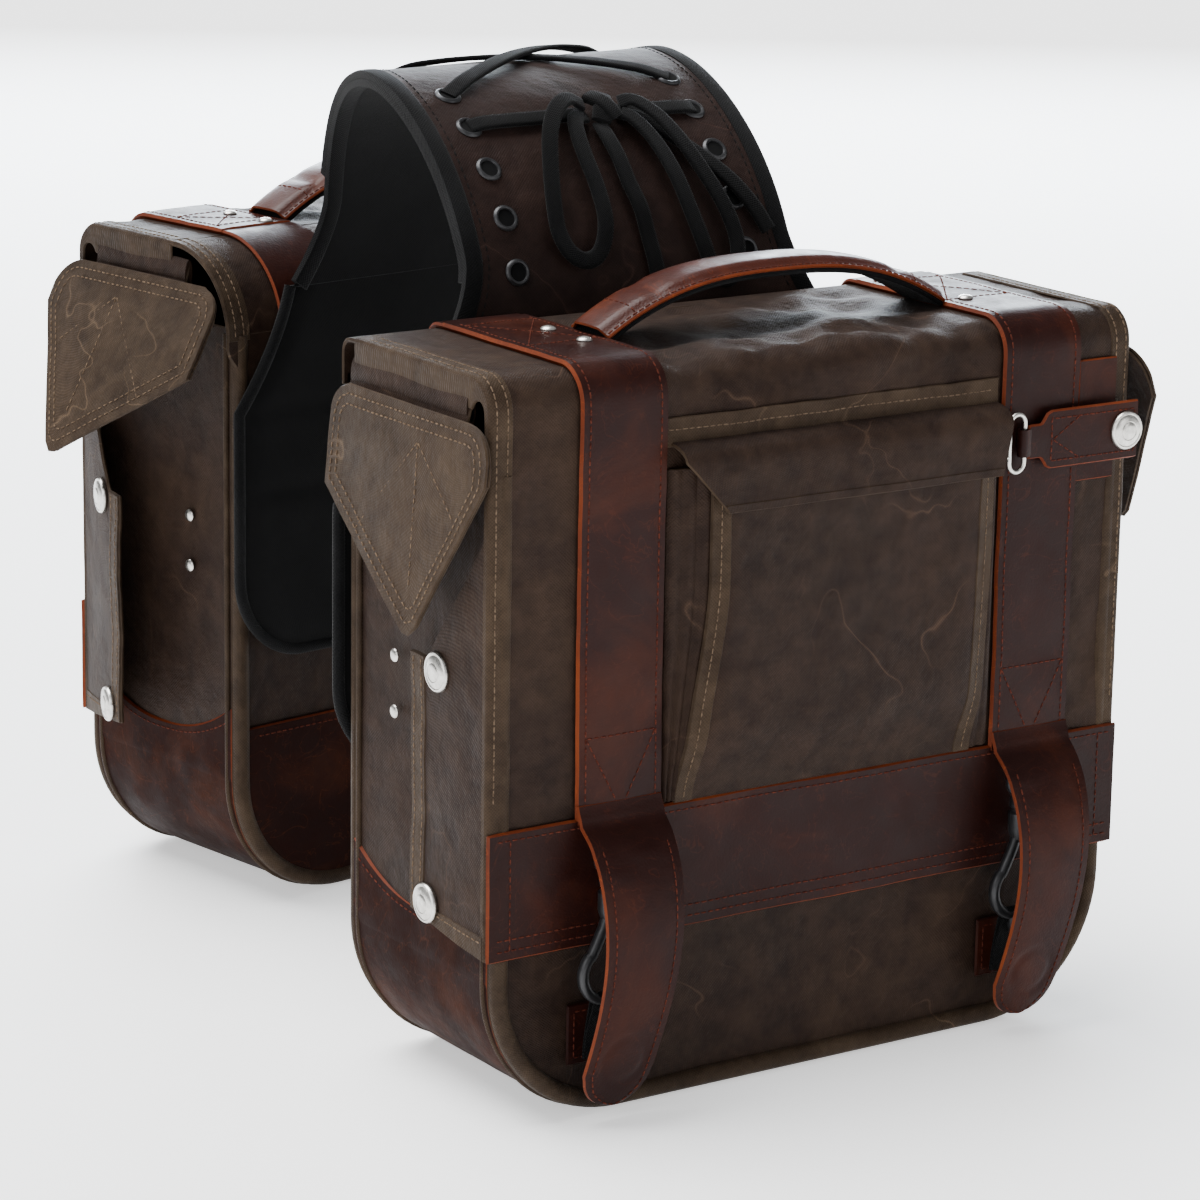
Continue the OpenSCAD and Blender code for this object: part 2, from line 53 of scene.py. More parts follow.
FAR_YAW, FAR_X, FAR_Y = 9, 44, 344
LID_FACE, LID_R, LID_LOW = 59.5, 14, 78
BAND_TOP = 133
STRAP_W = 42
STRAP_LEFT_X, STRAP_RIGHT_X = 105, 118
BAGS = {"near": 0, "far": 1}
SIDES = (("left", -1), ("right", 1))


def place(bag, points):
    """Bag millimetres to metres in the row frame."""
    p = np.asarray(points, float).reshape(-1, 3)
    if bag == 1:
        a = math.radians(180 + FAR_YAW)
        c, s = math.cos(a), math.sin(a)
        p = np.column_stack([FAR_X + c * p[:, 0] - s * p[:, 1],
                             FAR_Y + s * p[:, 0] + c * p[:, 1], p[:, 2]])
    return (p * MM).reshape(np.shape(points))


def strap_at(side):
    """Centre line of a strap; side is -1 for the left and 1 for the right."""
    return STRAP_RIGHT_X if side > 0 else -STRAP_LEFT_X


def seam_y(bag):
    """Where the lid's top starts to turn down the back; the far lid is rounder there."""
    return 48 if bag == 0 else 15


# ---- Materials ----------------------------------------------------------------------


class Nodes:
    """A short way to build a node material; where is the object's own coordinates."""

    def __init__(self, name):
        self.mat = bpy.data.materials.new(name)
        self.mat.use_nodes = True
        self.tree = self.mat.node_tree
        self.bsdf = self.tree.nodes["Principled BSDF"]
        self.where = self.add("TexCoord").outputs["Object"]

    def add(self, kind, **values):
        n = self.tree.nodes.new("ShaderNode" + kind)
        for k, v in values.items():
            if isinstance(v, bpy.types.NodeSocket):
                self.tree.links.new(v, n.inputs[k])
            else:
                n.inputs[k].default_value = v
        return n

    def noise(self, scale, detail, rough=0.5, distortion=0.0):
        return self.add("TexNoise", Vector=self.where, Scale=scale, Detail=detail,
                        Roughness=rough, Distortion=distortion).outputs[0]

    def math(self, op, a, b=0.0):
        n = self.tree.nodes.new("ShaderNodeMath")
        n.operation = op
        for i, v in enumerate((a, b)):
            if isinstance(v, bpy.types.NodeSocket):
                self.tree.links.new(v, n.inputs[i])
            else:
                n.inputs[i].default_value = v
        return n.outputs[0]

    def ramp(self, fac, stops):
        n = self.tree.nodes.new("ShaderNodeValToRGB")
        self.tree.links.new(fac, n.inputs[0])
        while len(n.color_ramp.elements) < len(stops):
            n.color_ramp.elements.new(0.5)
        for e, (pos, col) in zip(n.color_ramp.elements, stops):
            e.position = pos
            e.color = (*col, 1) if len(col) == 3 else col
        return n.outputs[0]

    def grey(self, fac, *stops):
        return self.ramp(fac, [(pos, (v, v, v)) for pos, v in stops])

    def creases(self, cloud, width):
        """White along the thin lines where a noise crosses its middle value."""
        off = self.math("ABSOLUTE", self.math("SUBTRACT", cloud, 0.5))
        return self.grey(off, (0.0, 1.0), (width, 0.0))

    def bump(self, height, strength, distance, **under):
        return self.add("Bump", Height=height, Strength=strength, Distance=distance,
                        **under).outputs[0]

    def mix(self, fac, a, b, blend="MIX"):
        n = self.tree.nodes.new("ShaderNodeMix")
        n.data_type = "RGBA"
        n.blend_type = blend
        for sock, v in ((n.inputs[0], fac), (n.inputs[6], a), (n.inputs[7], b)):
            if isinstance(v, bpy.types.NodeSocket):
                self.tree.links.new(v, sock)
            elif isinstance(v, (int, float)):
                sock.default_value = v
            else:
                sock.default_value = (*v, 1)
        return n.outputs[2]

    def link(self, out, socket):
        self.tree.links.new(out, self.bsdf.inputs[socket])

    def set(self, **values):
        for k, v in values.items():
            self.bsdf.inputs[k.replace("_", " ")].default_value = v


def weave_height(m, pitch):
    """Plain weave from the mesh's own weave map, which is in metres along the cloth."""
    weave_map = m.add("UVMap")
    weave_map.uv_map = "weave"
    split = m.add("SeparateXYZ", Vector=weave_map.outputs[0])
    k = 2 * math.pi / pitch
    u, v = (m.math("SINE", m.math("MULTIPLY", split.outputs[i], k)) for i in range(2))
    return m.math("MULTIPLY", m.math("ADD", m.math("MULTIPLY", u, v), 1.0), 0.5)


def canvas_material(name, dark, light, worn, pitch=0.0015):
    """Waxed canvas: fine weave, cloudy wax, pale rubbed streaks and creases."""
    m = Nodes(name)
    weave = weave_height(m, pitch)
    cloud = m.noise(11.0, 5.0, 0.62)
    fine = m.noise(95.0, 4.0, 0.7)
    line = m.creases(m.noise(15.0, 3.0, distortion=0.3), 0.005)
    broken = m.grey(m.noise(17.0, 2.0), (0.5, 0.0), (0.62, 1.0))
    tone = m.ramp(cloud, [(0.36, dark), (0.54, light), (0.72, worn)])
    tone = m.mix(0.45, tone, m.ramp(fine, [(0.34, dark), (0.68, worn)]))
    rubbed = tuple(c * 2.6 for c in worn)
    tone = m.mix(m.math("MULTIPLY", m.math("MULTIPLY", line, broken), 0.38), tone, rubbed)
    threads = m.grey(weave, (0.0, 0.62), (1.0, 1.18))
    m.link(m.mix(0.75, tone, threads, "MULTIPLY"), "Base Color")
    m.link(m.grey(cloud, (0.3, 0.52), (0.75, 0.72)), "Roughness")
    height = m.math("ADD", cloud, m.math("MULTIPLY", fine, 0.3))
    m.link(m.bump(height, 0.55, 0.006, Normal=m.bump(weave, 0.38, 0.0004)), "Normal")
    m.set(Sheen_Weight=0.02, Sheen_Roughness=0.4, Specular_IOR_Level=0.09)
    return m.mat


def leather_material(name, dark, mid, warm, bloom=0.35, rough=0.42, shine=0.15):
    """Oiled pull-up leather: fine grain, cloudy colour and a rubbed warm tone."""
    m = Nodes(name)
    cloud = m.noise(14.0, 6.0, 0.6, 0.6)
    mottle = m.noise(60.0, 5.0, 0.7)
    grain = m.add("TexVoronoi", Vector=m.where, Scale=900.0).outputs["Distance"]
    lines = m.creases(m.noise(38.0, 3.0, distortion=2.2), 0.01)
    tone = m.ramp(cloud, [(0.3, dark), (0.52, mid), (0.74, warm)])
    tone = m.mix(0.4, tone, m.ramp(mottle, [(0.32, dark), (0.7, mid)]))
    m.link(m.mix(m.math("MULTIPLY", lines, bloom), tone, warm), "Base Color")
    m.link(m.grey(mottle, (0.3, rough - 0.08), (0.7, rough + 0.14)), "Roughness")
    height = m.math("ADD", cloud, m.math("MULTIPLY", mottle, 0.5))
    m.link(m.bump(height, 0.22, 0.002, Normal=m.bump(grain, 0.22, 0.0003)), "Normal")
    m.set(Specular_IOR_Level=shine)
    return m.mat


def felt_material(name, tone, lift, pitch=0.0009, strength=0.5):
    """Black felt or tape: matt, faintly fuzzy."""
    m = Nodes(name)
    weave = weave_height(m, pitch)
    fuzz = m.noise(420.0, 4.0, 0.8)
    base = m.mix(m.grey(m.noise(24.0, 3.0), (0.35, 0.0), (0.7, 1.0)), tone, lift)
    m.link(m.mix(0.5, base, m.grey(fuzz, (0.3, 0.5), (0.7, 1.4)), "MULTIPLY"), "Base Color")
    height = m.math("ADD", m.math("MULTIPLY", weave, 0.6), m.math("MULTIPLY", fuzz, 0.6))
    m.link(m.bump(height, strength, 0.0005), "Normal")
    m.set(Roughness=0.9, Sheen_Weight=0.04, Sheen_Roughness=0.4, Specular_IOR_Level=0.1)
    return m.mat


def metal_material(name, tone, rough, metallic=1.0, scratch=0.25):
    """Plated metal with a dull patina and fine brushing."""
    m = Nodes(name)
    patina = m.noise(240.0, 5.0, 0.7)
    stretched = m.add("Mapping", Vector=m.where, Scale=(300, 2500, 300)).outputs[0]
    brushed = m.add("TexNoise", Vector=stretched, Scale=1.0, Detail=2.0).outputs[0]
    low = tuple(c * 0.62 for c in tone)
    m.link(m.ramp(patina, [(0.3, low), (0.6, tone)]), "Base Color")
    m.link(m.grey(brushed, (0.3, rough), (0.7, rough + 0.16)), "Roughness")
    m.link(m.bump(brushed, scratch, 0.0001), "Normal")
    m.set(Metallic=metallic)
    return m.mat


def thread_material(name, tone, lift):
    """Twisted thread."""
    m = Nodes(name)
    twist = m.noise(900.0, 3.0)
    m.link(m.ramp(twist, [(0.35, tone), (0.7, lift)]), "Base Color")
    m.link(m.bump(twist, 0.5, 0.0003), "Normal")
    m.set(Roughness=0.9, Specular_IOR_Level=0.08)
    return m.mat


MATERIALS = {
    "canvas": canvas_material("waxed_canvas", (0.009, 0.0042, 0.0027), (0.0165, 0.0082, 0.0055),
                              (0.037, 0.0215, 0.0135)),
    "hem": canvas_material("canvas_hem", (0.0165, 0.0095, 0.0052), (0.03, 0.0178, 0.0103),
                           (0.058, 0.038, 0.023)),
    "yoke": canvas_material("yoke_canvas", (0.0075, 0.0032, 0.0024), (0.0125, 0.0058, 0.0045),
                            (0.024, 0.0125, 0.0095)),
    "leather": leather_material("oiled_leather", (0.0075, 0.0017, 0.0012), (0.0155, 0.0036, 0.0024),
                                (0.052, 0.0115, 0.0042), shine=0.09),
    "base": leather_material("base_leather", (0.006, 0.0016, 0.0011), (0.0125, 0.0034, 0.0022),
                             (0.055, 0.0145, 0.0045), bloom=0.4, rough=0.6, shine=0.04),
    "handle": leather_material("handle_leather", (0.018, 0.0032, 0.0016), (0.04, 0.0075, 0.0033),
                               (0.13, 0.027, 0.0065), bloom=0.3, rough=0.34),
    "edge": leather_material("leather_edge", (0.05, 0.0075, 0.0015), (0.115, 0.019, 0.003),
                             (0.22, 0.043, 0.007), rough=0.6),
    "felt": felt_material("black_felt", (0.0012, 0.0012, 0.0013), (0.003, 0.003, 0.0031)),
    "tape": felt_material("black_tape", (0.002, 0.002, 0.0022), (0.0055, 0.0055, 0.0058),
                          pitch=0.0016, strength=0.8),
    "lace": felt_material("black_lace", (0.0015, 0.0015, 0.0016), (0.004, 0.004, 0.0043),
                          pitch=0.0013, strength=0.9),
    "steel": metal_material("nickel", (0.62, 0.6, 0.56), 0.24),
    "black_metal": metal_material("black_plated", (0.03, 0.03, 0.032), 0.3, metallic=0.6),
    "brown_thread": thread_material("brown_thread", (0.055, 0.036, 0.023), (0.15, 0.105, 0.07)),
    "dark_thread": thread_material("dark_thread", (0.03, 0.0062, 0.004), (0.1, 0.026, 0.015)),
    "black_thread": thread_material("black_thread", (0.003, 0.003, 0.003), (0.009, 0.009, 0.009)),
}
# Outer face, inner face and edge of a sheet
CANVAS = ("canvas", "canvas", "hem")
LEATHER = ("leather", "leather", "edge")
BASE = ("base", "base", "edge")
HEM = ("hem", "hem", "hem")


# ---- Mesh helpers -------------------------------------------------------------------


def make_object(name, verts, faces, uvs, mats, slots=None, smooth=40):
    """A mesh object from metres, with one weave-map entry per face corner."""
    mesh = bpy.data.meshes.new(name)
    mesh.from_pydata([tuple(v) for v in verts], [], [tuple(int(i) for i in f) for f in faces])
    if uvs is not None:
        layer = mesh.uv_layers.new(name="weave")
        layer.data.foreach_set("uv", np.asarray(uvs, np.float32).ravel())
    for m in mats:
        mesh.materials.append(MATERIALS[m])
    if slots is not None:
        mesh.polygons.foreach_set("material_index", np.asarray(slots, np.int32))
    mesh.validate()
    mesh.shade_smooth()
    mesh.set_sharp_from_angle(angle=math.radians(smooth))
    obj = bpy.data.objects.new(name, mesh)
    bpy.context.scene.collection.objects.link(obj)
    return obj


def finish_piece(obj, body, mat, *nodes):
    """Gives a piece its body and hides the CAD nodes it stands for."""
    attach(obj, body)
    if nodes:
        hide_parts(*nodes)
    return obj


EDGE_BULGE = 0.35


def grid_normals(g):
    """Unit normals of a grid of points, to the right of its rows."""
    du = np.gradient(g, axis=1)
    dv = np.gradient(g, axis=0)
    n = np.cross(du, dv)
    length = np.linalg.norm(n, axis=2, keepdims=True)
    return n / np.maximum(length, 1e-9)


def run_length(points):
    """Length along a line of points, from 0 at its start."""
    return np.concatenate([[0], np.cumsum(np.linalg.norm(np.diff(points, axis=0), axis=1))])


def border(rows, cols):
    """Indices round the edge of a grid."""
    return ([(0, j) for j in range(cols)] + [(i, cols - 1) for i in range(1, rows)]
            + [(rows - 1, j) for j in range(cols - 2, -1, -1)]
            + [(i, 0) for i in range(rows - 2, 0, -1)])


def two_faces(rows, cols, flip, uv):
    """Quads of a grid's outer face and, in turn, of its inner face, with their weave map."""
    faces, uvs = [], []
    for i in range(rows - 1):
        for j in range(cols - 1):
            quad = [(i, j), (i, j + 1), (i + 1, j + 1), (i + 1, j)]
            if flip:
                quad.reverse()
            for start in (0, rows * cols):
                faces.append([start + a * cols + b for a, b in quad])
                uvs += [uv(q) for q in quad]
                quad.reverse()
    return faces, uvs


class Sheet:
    """A sheet of cloth or leather: a grid of points on its outer face, given a thickness."""

    def __init__(self, bag, grid, thick, flip=False):
        self.bag = bag
        self.grid = np.asarray(grid, float)
        self.handed = not flip
        self.normals = grid_normals(self.grid) * (-1 if flip else 1)
        self.thick = thick

    def build(self, name, mats):
        """mats is outer face, inner face and edge."""
        g, nrm, t = self.grid, self.normals, self.thick
        rows, cols = g.shape[:2]
        inner = g - nrm * t
        ring = border(rows, cols)
        edge = []
        for k, (i, j) in enumerate(ring):
            along = g[ring[(k + 1) % len(ring)]] - g[ring[k - 1]]
            out = np.cross(along, nrm[i, j])
            out /= max(np.linalg.norm(out), 1e-9)
            towards = g[i, j] - g[min(max(i, 1), rows - 2), min(max(j, 1), cols - 2)]
            if np.dot(out, towards) < 0:
                out = -out
            edge.append((g[i, j] + inner[i, j]) / 2 + out * t * EDGE_BULGE)
        n = rows * cols
        verts = np.vstack([g.reshape(-1, 3), inner.reshape(-1, 3), np.array(edge)])
        us, vs = run_length(g[rows // 2]) * MM, run_length(g[:, cols // 2]) * MM
        faces, uvs = two_faces(rows, cols, not self.handed, lambda q: (us[q[1]], vs[q[0]]))
        slots = [0, 1] * (len(faces) // 2)
        for k, p in enumerate(ring):
            k1 = (k + 1) % len(ring)
            q = ring[k1]
            a, b = p[0] * cols + p[1], q[0] * cols + q[1]
            for quad in ([a, b, 2 * n + k1, 2 * n + k], [2 * n + k, 2 * n + k1, n + b, n + a]):
                faces.append(quad[::-1] if self.handed else quad)
                uvs += [(us[p[1]], vs[p[0]])] * 4
                slots.append(2)
        return make_object(name, place(self.bag, verts), faces, uvs, mats, slots)

    def piece(self, name, mats, body, *nodes):
        return finish_piece(self.build(name, mats), body, mats[0], *nodes)

    def at(self, s, t):
        """Point and normal at fractions s across and t along the rows."""
        rows, cols = self.grid.shape[:2]
        x, y = np.clip(s, 0, 1) * (cols - 1), np.clip(t, 0, 1) * (rows - 1)
        j, i = min(int(x), cols - 2), min(int(y), rows - 2)
        fx, fy = x - j, y - i

        def blend(a):
            return ((a[i, j] * (1 - fx) + a[i, j + 1] * fx) * (1 - fy)
                    + (a[i + 1, j] * (1 - fx) + a[i + 1, j + 1] * fx) * fy)
        n = blend(self.normals)
        return blend(self.grid), n / np.linalg.norm(n)


def along_line(at, s, values):
    """Rows of values at distances s, read at one distance."""
    return np.array([np.interp(at, s, values[:, c]) for c in range(3)])


class Stitches:
    """Collects short thread stitches and makes one mesh of them."""

    def __init__(self, bag):
        self.bag = bag
        self.items = []

    def along(self, points, normals, pitch=4.0, length=2.9, r=0.42, sink=0.1):
        p = np.asarray(points, float)
        n = np.asarray(normals, float)
        s = run_length(p)
        count = int(s[-1] / pitch)
        for k in range(count):
            at = (k + 0.5) * s[-1] / max(count, 1)
            mid, up = along_line(at, s, p), along_line(at, s, n)
            t = along_line(min(at + 0.6, s[-1]), s, p) - along_line(max(at - 0.6, 0), s, p)
            if np.linalg.norm(t) < 1e-6:
                continue
            t /= np.linalg.norm(t)
            up /= max(np.linalg.norm(up), 1e-9)
            side = np.cross(t, up)
            self.items.append((mid + up * (r * 0.35 - sink), t, side, up, length, r))

    def on(self, sheet, route, samples=60, **kw):
        """A row of stitches along a route of (s, t) fractions on a sheet."""
        route = np.asarray(route, float)
        s = run_length(route)
        pts, nrm = [], []
        for a in np.linspace(0, s[-1], samples):
            p, n = sheet.at(np.interp(a, s, route[:, 0]), np.interp(a, s, route[:, 1]))
            pts.append(p)
            nrm.append(n)
        self.along(pts, nrm, **kw)

    def build(self, name, mat):
        verts, faces = [], []
        rings = [(-0.5, 0.0), (-0.38, 0.8), (0.0, 1.0), (0.38, 0.8), (0.5, 0.0)]
        sides = 5
        for mid, t, side, up, length, r in self.items:
            base = len(verts)
            verts.append(mid - t * length / 2)
            for f, w in rings[1:-1]:
                for k in range(sides):
                    a = 2 * math.pi * k / sides
                    verts.append(mid + t * length * f
                                 + (side * math.cos(a) + up * math.sin(a) * 0.8) * r * w)
            verts.append(mid + t * length / 2)
            for k in range(sides):
                k1 = (k + 1) % sides
                faces.append((base, base + 1 + k, base + 1 + k1))
                for ring in range(2):
                    o = base + 1 + ring * sides
                    faces.append((o + k, o + sides + k, o + sides + k1, o + k1))
                o = base + 1 + 2 * sides
                faces.append((o + k, base + 1 + 3 * sides, o + k1))
        return make_object(name, place(self.bag, verts), faces, None, [mat], smooth=80)

    def piece(self, name, mat, body):
        return finish_piece(self.build(name, mat), body, mat)


def round_section(r, sides=10, flat=1.0):
    """Round or oval cross-section; flat squeezes it upwards."""
    return [(r * math.cos(2 * math.pi * k / sides), r * flat * math.sin(2 * math.pi * k / sides))
            for k in range(sides)]


def strap_section(w, t):
    """Flat band with soft edges, w wide and t thick."""
    a, b = w / 2, t / 2
    return [(a, 0), (a - 0.15 * t, b * 0.8), (a * 0.6, b), (0, b), (-a * 0.6, b),
            (-a + 0.15 * t, b * 0.8), (-a, 0), (-a + 0.15 * t, -b * 0.8), (-a * 0.6, -b), (0, -b),
            (a * 0.6, -b), (a - 0.15 * t, -b * 0.8)]


def carried_ups(p, t, first=None):
    """An upward direction carried along a line without twisting."""
    v = np.array([0.0, 0.0, 1.0]) if abs(t[0][2]) < 0.8 else np.array([1.0, 0.0, 0.0])
    v = v if first is None else np.asarray(first, float)
    ups = np.zeros_like(p)
    for i in range(len(p)):
        v = v - t[i] * np.dot(v, t[i])
        v /= np.linalg.norm(v)
        ups[i] = v
    return ups


def sweep_mesh(points, section, ups=None, scale=None, first=None):
    """Vertices, faces and weave map of a section carried along points."""
    p = np.asarray(points, float)
    n, sides = len(p), len(section)
    t = np.gradient(p, axis=0)
    t /= np.maximum(np.linalg.norm(t, axis=1, keepdims=True), 1e-9)
    up = carried_ups(p, t, first) if ups is None else np.asarray(ups, float)
    up = up - t * np.sum(up * t, axis=1, keepdims=True)
    up /= np.maximum(np.linalg.norm(up, axis=1, keepdims=True), 1e-9)
    side = np.cross(t, up)
    scale = np.ones(n) if scale is None else np.asarray(scale, float)
    sec = np.asarray(section, float)
    verts = (p[:, None] + side[:, None] * (sec[None, :, :1] * scale[:, None, None])
             + up[:, None] * (sec[None, :, 1:] * scale[:, None, None])).reshape(-1, 3)
    s, c = run_length(p) * MM, run_length(np.vstack([sec, sec[:1]])) * MM
    faces, uvs = [], []
    for i in range(n - 1):
        for k in range(sides):
            k1 = (k + 1) % sides
            faces.append((i * sides + k, (i + 1) * sides + k, (i + 1) * sides + k1, i * sides + k1))
            uvs += [(c[k], s[i]), (c[k], s[i + 1]), (c[k + 1], s[i + 1]), (c[k + 1], s[i])]
    for start, order in ((0, range(sides)), ((n - 1) * sides, range(sides - 1, -1, -1))):
        faces.append(tuple(start + k for k in order))
        uvs += [(0.0, 0.0)] * sides
    return verts, faces, uvs


def join_meshes(parts):
    verts, faces, uvs = [], [], []
    for v, f, u in parts:
        base = len(verts)
        verts += list(v)
        faces += [tuple(i + base for i in q) for q in f]
        uvs += list(u)
    return verts, faces, uvs


def sweeps(name, bag, runs, mat, body, *nodes):
    """One piece of several swept runs; each is the keywords of sweep_mesh."""
    v, f, u = join_meshes([sweep_mesh(**r) for r in runs])
    return finish_piece(make_object(name, place(bag, v), f, u, [mat], smooth=60), body, mat, *nodes)


def turned(name, bag, parts, mat, body, *nodes):
    """One piece of several lathe parts."""
    v, f, u = join_meshes(parts)
    return finish_piece(make_object(name, place(bag, v), f, u, [mat], smooth=35), body, mat, *nodes)


def swell(p, amp, size, seed=0.0):
    """A smooth height in millimetres at a point, the same every run."""
    q = Vector((p[0] / size + seed, p[1] / size + 3.1 * seed, p[2] / size))
    return amp * (noise.noise(q) + 0.4 * noise.noise(q * 2.7))


def roughen(grid, amp, size, seed, normals=None, mask=None):
    """Pushes a grid of points in and out along its normals."""
    n = grid_normals(grid) if normals is None else normals
    out = grid.copy()
    for i in range(grid.shape[0]):
        for j in range(grid.shape[1]):
            k = 1.0 if mask is None else mask[i, j]
            out[i, j] = grid[i, j] + n[i, j] * swell(grid[i, j], amp, size, seed) * k
    return out


def overlay(sheet, s0, s1, t0, t1, lift=0.5, thick=0.9, cols=12, rows=12):
    """A thin strip that lies on part of a sheet, as a hem does."""
    pts = [[sheet.at(a, b) for a in np.linspace(s0, s1, cols)] for b in np.linspace(t0, t1, rows)]
    grid = np.array([[p + n * lift for p, n in row] for row in pts])
    return Sheet(sheet.bag, grid, thick, flip=not sheet.handed)


def pillow(name, bag, grid, half, flip, mat):
    """A padded closed form: a grid of mid points and its half thickness at each."""
    nrm = grid_normals(grid) * (-1 if flip else 1)
    rows, cols = grid.shape[:2]
    n = rows * cols
    verts = np.vstack([(grid + nrm * half[..., None]).reshape(-1, 3),
                       (grid - nrm * half[..., None]).reshape(-1, 3)])
    u = np.linalg.norm(grid - grid[:, :1], axis=2) * MM
    v = np.linalg.norm(grid - grid[:1], axis=2) * MM
    faces, uvs = two_faces(rows, cols, flip, lambda q: (u[q], v[q]))
    ring = border(rows, cols)
    for k, p in enumerate(ring):
        q = ring[(k + 1) % len(ring)]
        a, b = p[0] * cols + p[1], q[0] * cols + q[1]
        quad = [b, a, n + a, n + b]
        faces.append(quad[::-1] if flip else quad)
        uvs += [(0.0, 0.0)] * 4
    return make_object(name, place(bag, verts), faces, uvs, [mat], smooth=70)


def fade(x, a, b):
    """0 at a, 1 at b, smooth between."""
    t = np.clip((np.asarray(x, float) - a) / (b - a), 0, 1)
    return t * t * (3 - 2 * t)


def lathe(profile, centre, axis, side, segments=32):
    """Turned piece: profile is (radius, height) from the axis point outwards."""
    axis = np.asarray(axis, float) / np.linalg.norm(axis)
    side = np.asarray(side, float)
    side = side - axis * np.dot(side, axis)
    side /= np.linalg.norm(side)
    other = np.cross(axis, side)
    verts, faces, uvs = [], [], []
    for r, h in profile:
        for k in range(segments):
            a = 2 * math.pi * k / segments
            verts.append(np.asarray(centre) + axis * h
                         + (side * math.cos(a) + other * math.sin(a)) * r)
    for i in range(len(profile) - 1):
        for k in range(segments):
            k1 = (k + 1) % segments
            faces.append((i * segments + k, i * segments + k1,
                          (i + 1) * segments + k1, (i + 1) * segments + k))
            uvs += [(0.0, 0.0)] * 4
    for start, order in ((0, range(segments - 1, -1, -1)),
                         ((len(profile) - 1) * segments, range(segments))):
        faces.append(tuple(start + k for k in order))
        uvs += [(0.0, 0.0)] * segments
    return verts, faces, uvs


# ---- Camera, lights and floor ---------------------------------------------------------


def make_camera():
    """The photographed view: from the front left of the near bag, a little above it."""
    az, el, roll = (math.radians(a) for a in (-34.0, 14.3, 0.94))
    dist, right_by, up_by, focal_px = 1980.5, 26.8, -15.8, 4322.5
    back = Vector((math.sin(az) * math.cos(el), -math.cos(az) * math.cos(el), math.sin(el)))
    right = Vector((math.cos(az), math.sin(az), 0))
    up = back.cross(right)
    right, up = (right * math.cos(roll) + up * math.sin(roll),
                 up * math.cos(roll) - right * math.sin(roll))
    aim = Vector((0, BAG_D / 2, 170))
    where = aim + back * dist - right * right_by - up * up_by
    cam = bpy.data.objects.new("camera", bpy.data.cameras.new("camera"))
    cam.data.sensor_width = 36
    cam.data.lens = focal_px / 1200 * 36
    cam.data.clip_start, cam.data.clip_end = 0.05, 30
    m = Matrix((right, up, back)).transposed().to_4x4()
    m.translation = where * MM
    cam.matrix_world = m
    bpy.context.scene.collection.objects.link(cam)
    bpy.context.scene.camera = cam


def area_light(name, at, aim, size, power, tone=(1, 1, 1)):
    light = bpy.data.lights.new(name, "AREA")
    light.shape = "RECTANGLE"
    light.size, light.size_y = size
    light.energy = power
    light.color = tone
    obj = bpy.data.objects.new(name, light)
    obj.location = at
    obj.rotation_mode = "QUATERNION"
    obj.rotation_quaternion = (Vector(aim) - Vector(at)).to_track_quat("-Z", "Y")
    bpy.context.scene.collection.objects.link(obj)


def sun_light(name, towards, strength, spread):
    """Even overhead light: spread is its angular size in degrees."""
    light = bpy.data.lights.new(name, "SUN")
    light.energy = strength
    light.angle = math.radians(spread)
    obj = bpy.data.objects.new(name, light)
    obj.rotation_mode = "QUATERNION"
    obj.rotation_quaternion = (-Vector(towards)).to_track_quat("-Z", "Y")
    bpy.context.scene.collection.objects.link(obj)


def make_studio():
    m = Nodes("pale_floor")
    m.link(m.grey(m.noise(3.0, 3.0), (0.3, 0.93), (0.7, 0.95)), "Base Color")
    m.set(Roughness=0.8, Emission_Color=(1, 1, 1, 1), Emission_Strength=0.7)
    bpy.ops.mesh.primitive_plane_add(size=30, location=(0, 0, -0.0005))
    floor = bpy.context.object
    floor.name = "floor"
    floor.data.materials.append(m.mat)
    world = bpy.data.worlds.new("studio")
    world.use_nodes = True
    world.node_tree.nodes["Background"].inputs[0].default_value = (0.95, 0.97, 1.0, 1)
    world.node_tree.nodes["Background"].inputs[1].default_value = 0.4
    bpy.context.scene.world = world
    centre = (0, 0.15, 0.2)
    sun_light("overhead", (-0.25, 0.35, 1.0), 7.5, 50)
    area_light("key", (-2.7, -1.3, 1.5), centre, (1.6, 1.6), 30)
    area_light("front", (0.9, -2.8, 1.1), centre, (1.6, 1.4), 16)
    area_light("back", (1.8, 2.8, 1.25), centre, (2.6, 1.0), 200, (0.84, 0.92, 1.0))


make_camera()
make_studio()


# ---- Yoke and lace --------------------------------------------------------------------

YOKE_HALF_W, YOKE_RISE = 87, 110
FOOT_Z, FLARE_TOP, PAD_FLARE = 308, 350, 249
PAD_Y, PAD_LOW = 64.8, 128
EYELET_U = 62
ROW_Q = [111] + [69 - 12.7 * i for i in range(5)]
LACE_W, LACE_T, LACE_OFF = 8, 2.4, 5.8
KNOT_U, KNOT_Q = 8, 56.3
NEAR_FOOT = place(0, [0, PAD_Y + 1, FOOT_Z]) / MM
FAR_FOOT = place(1, [0, PAD_Y, FOOT_Z]) / MM

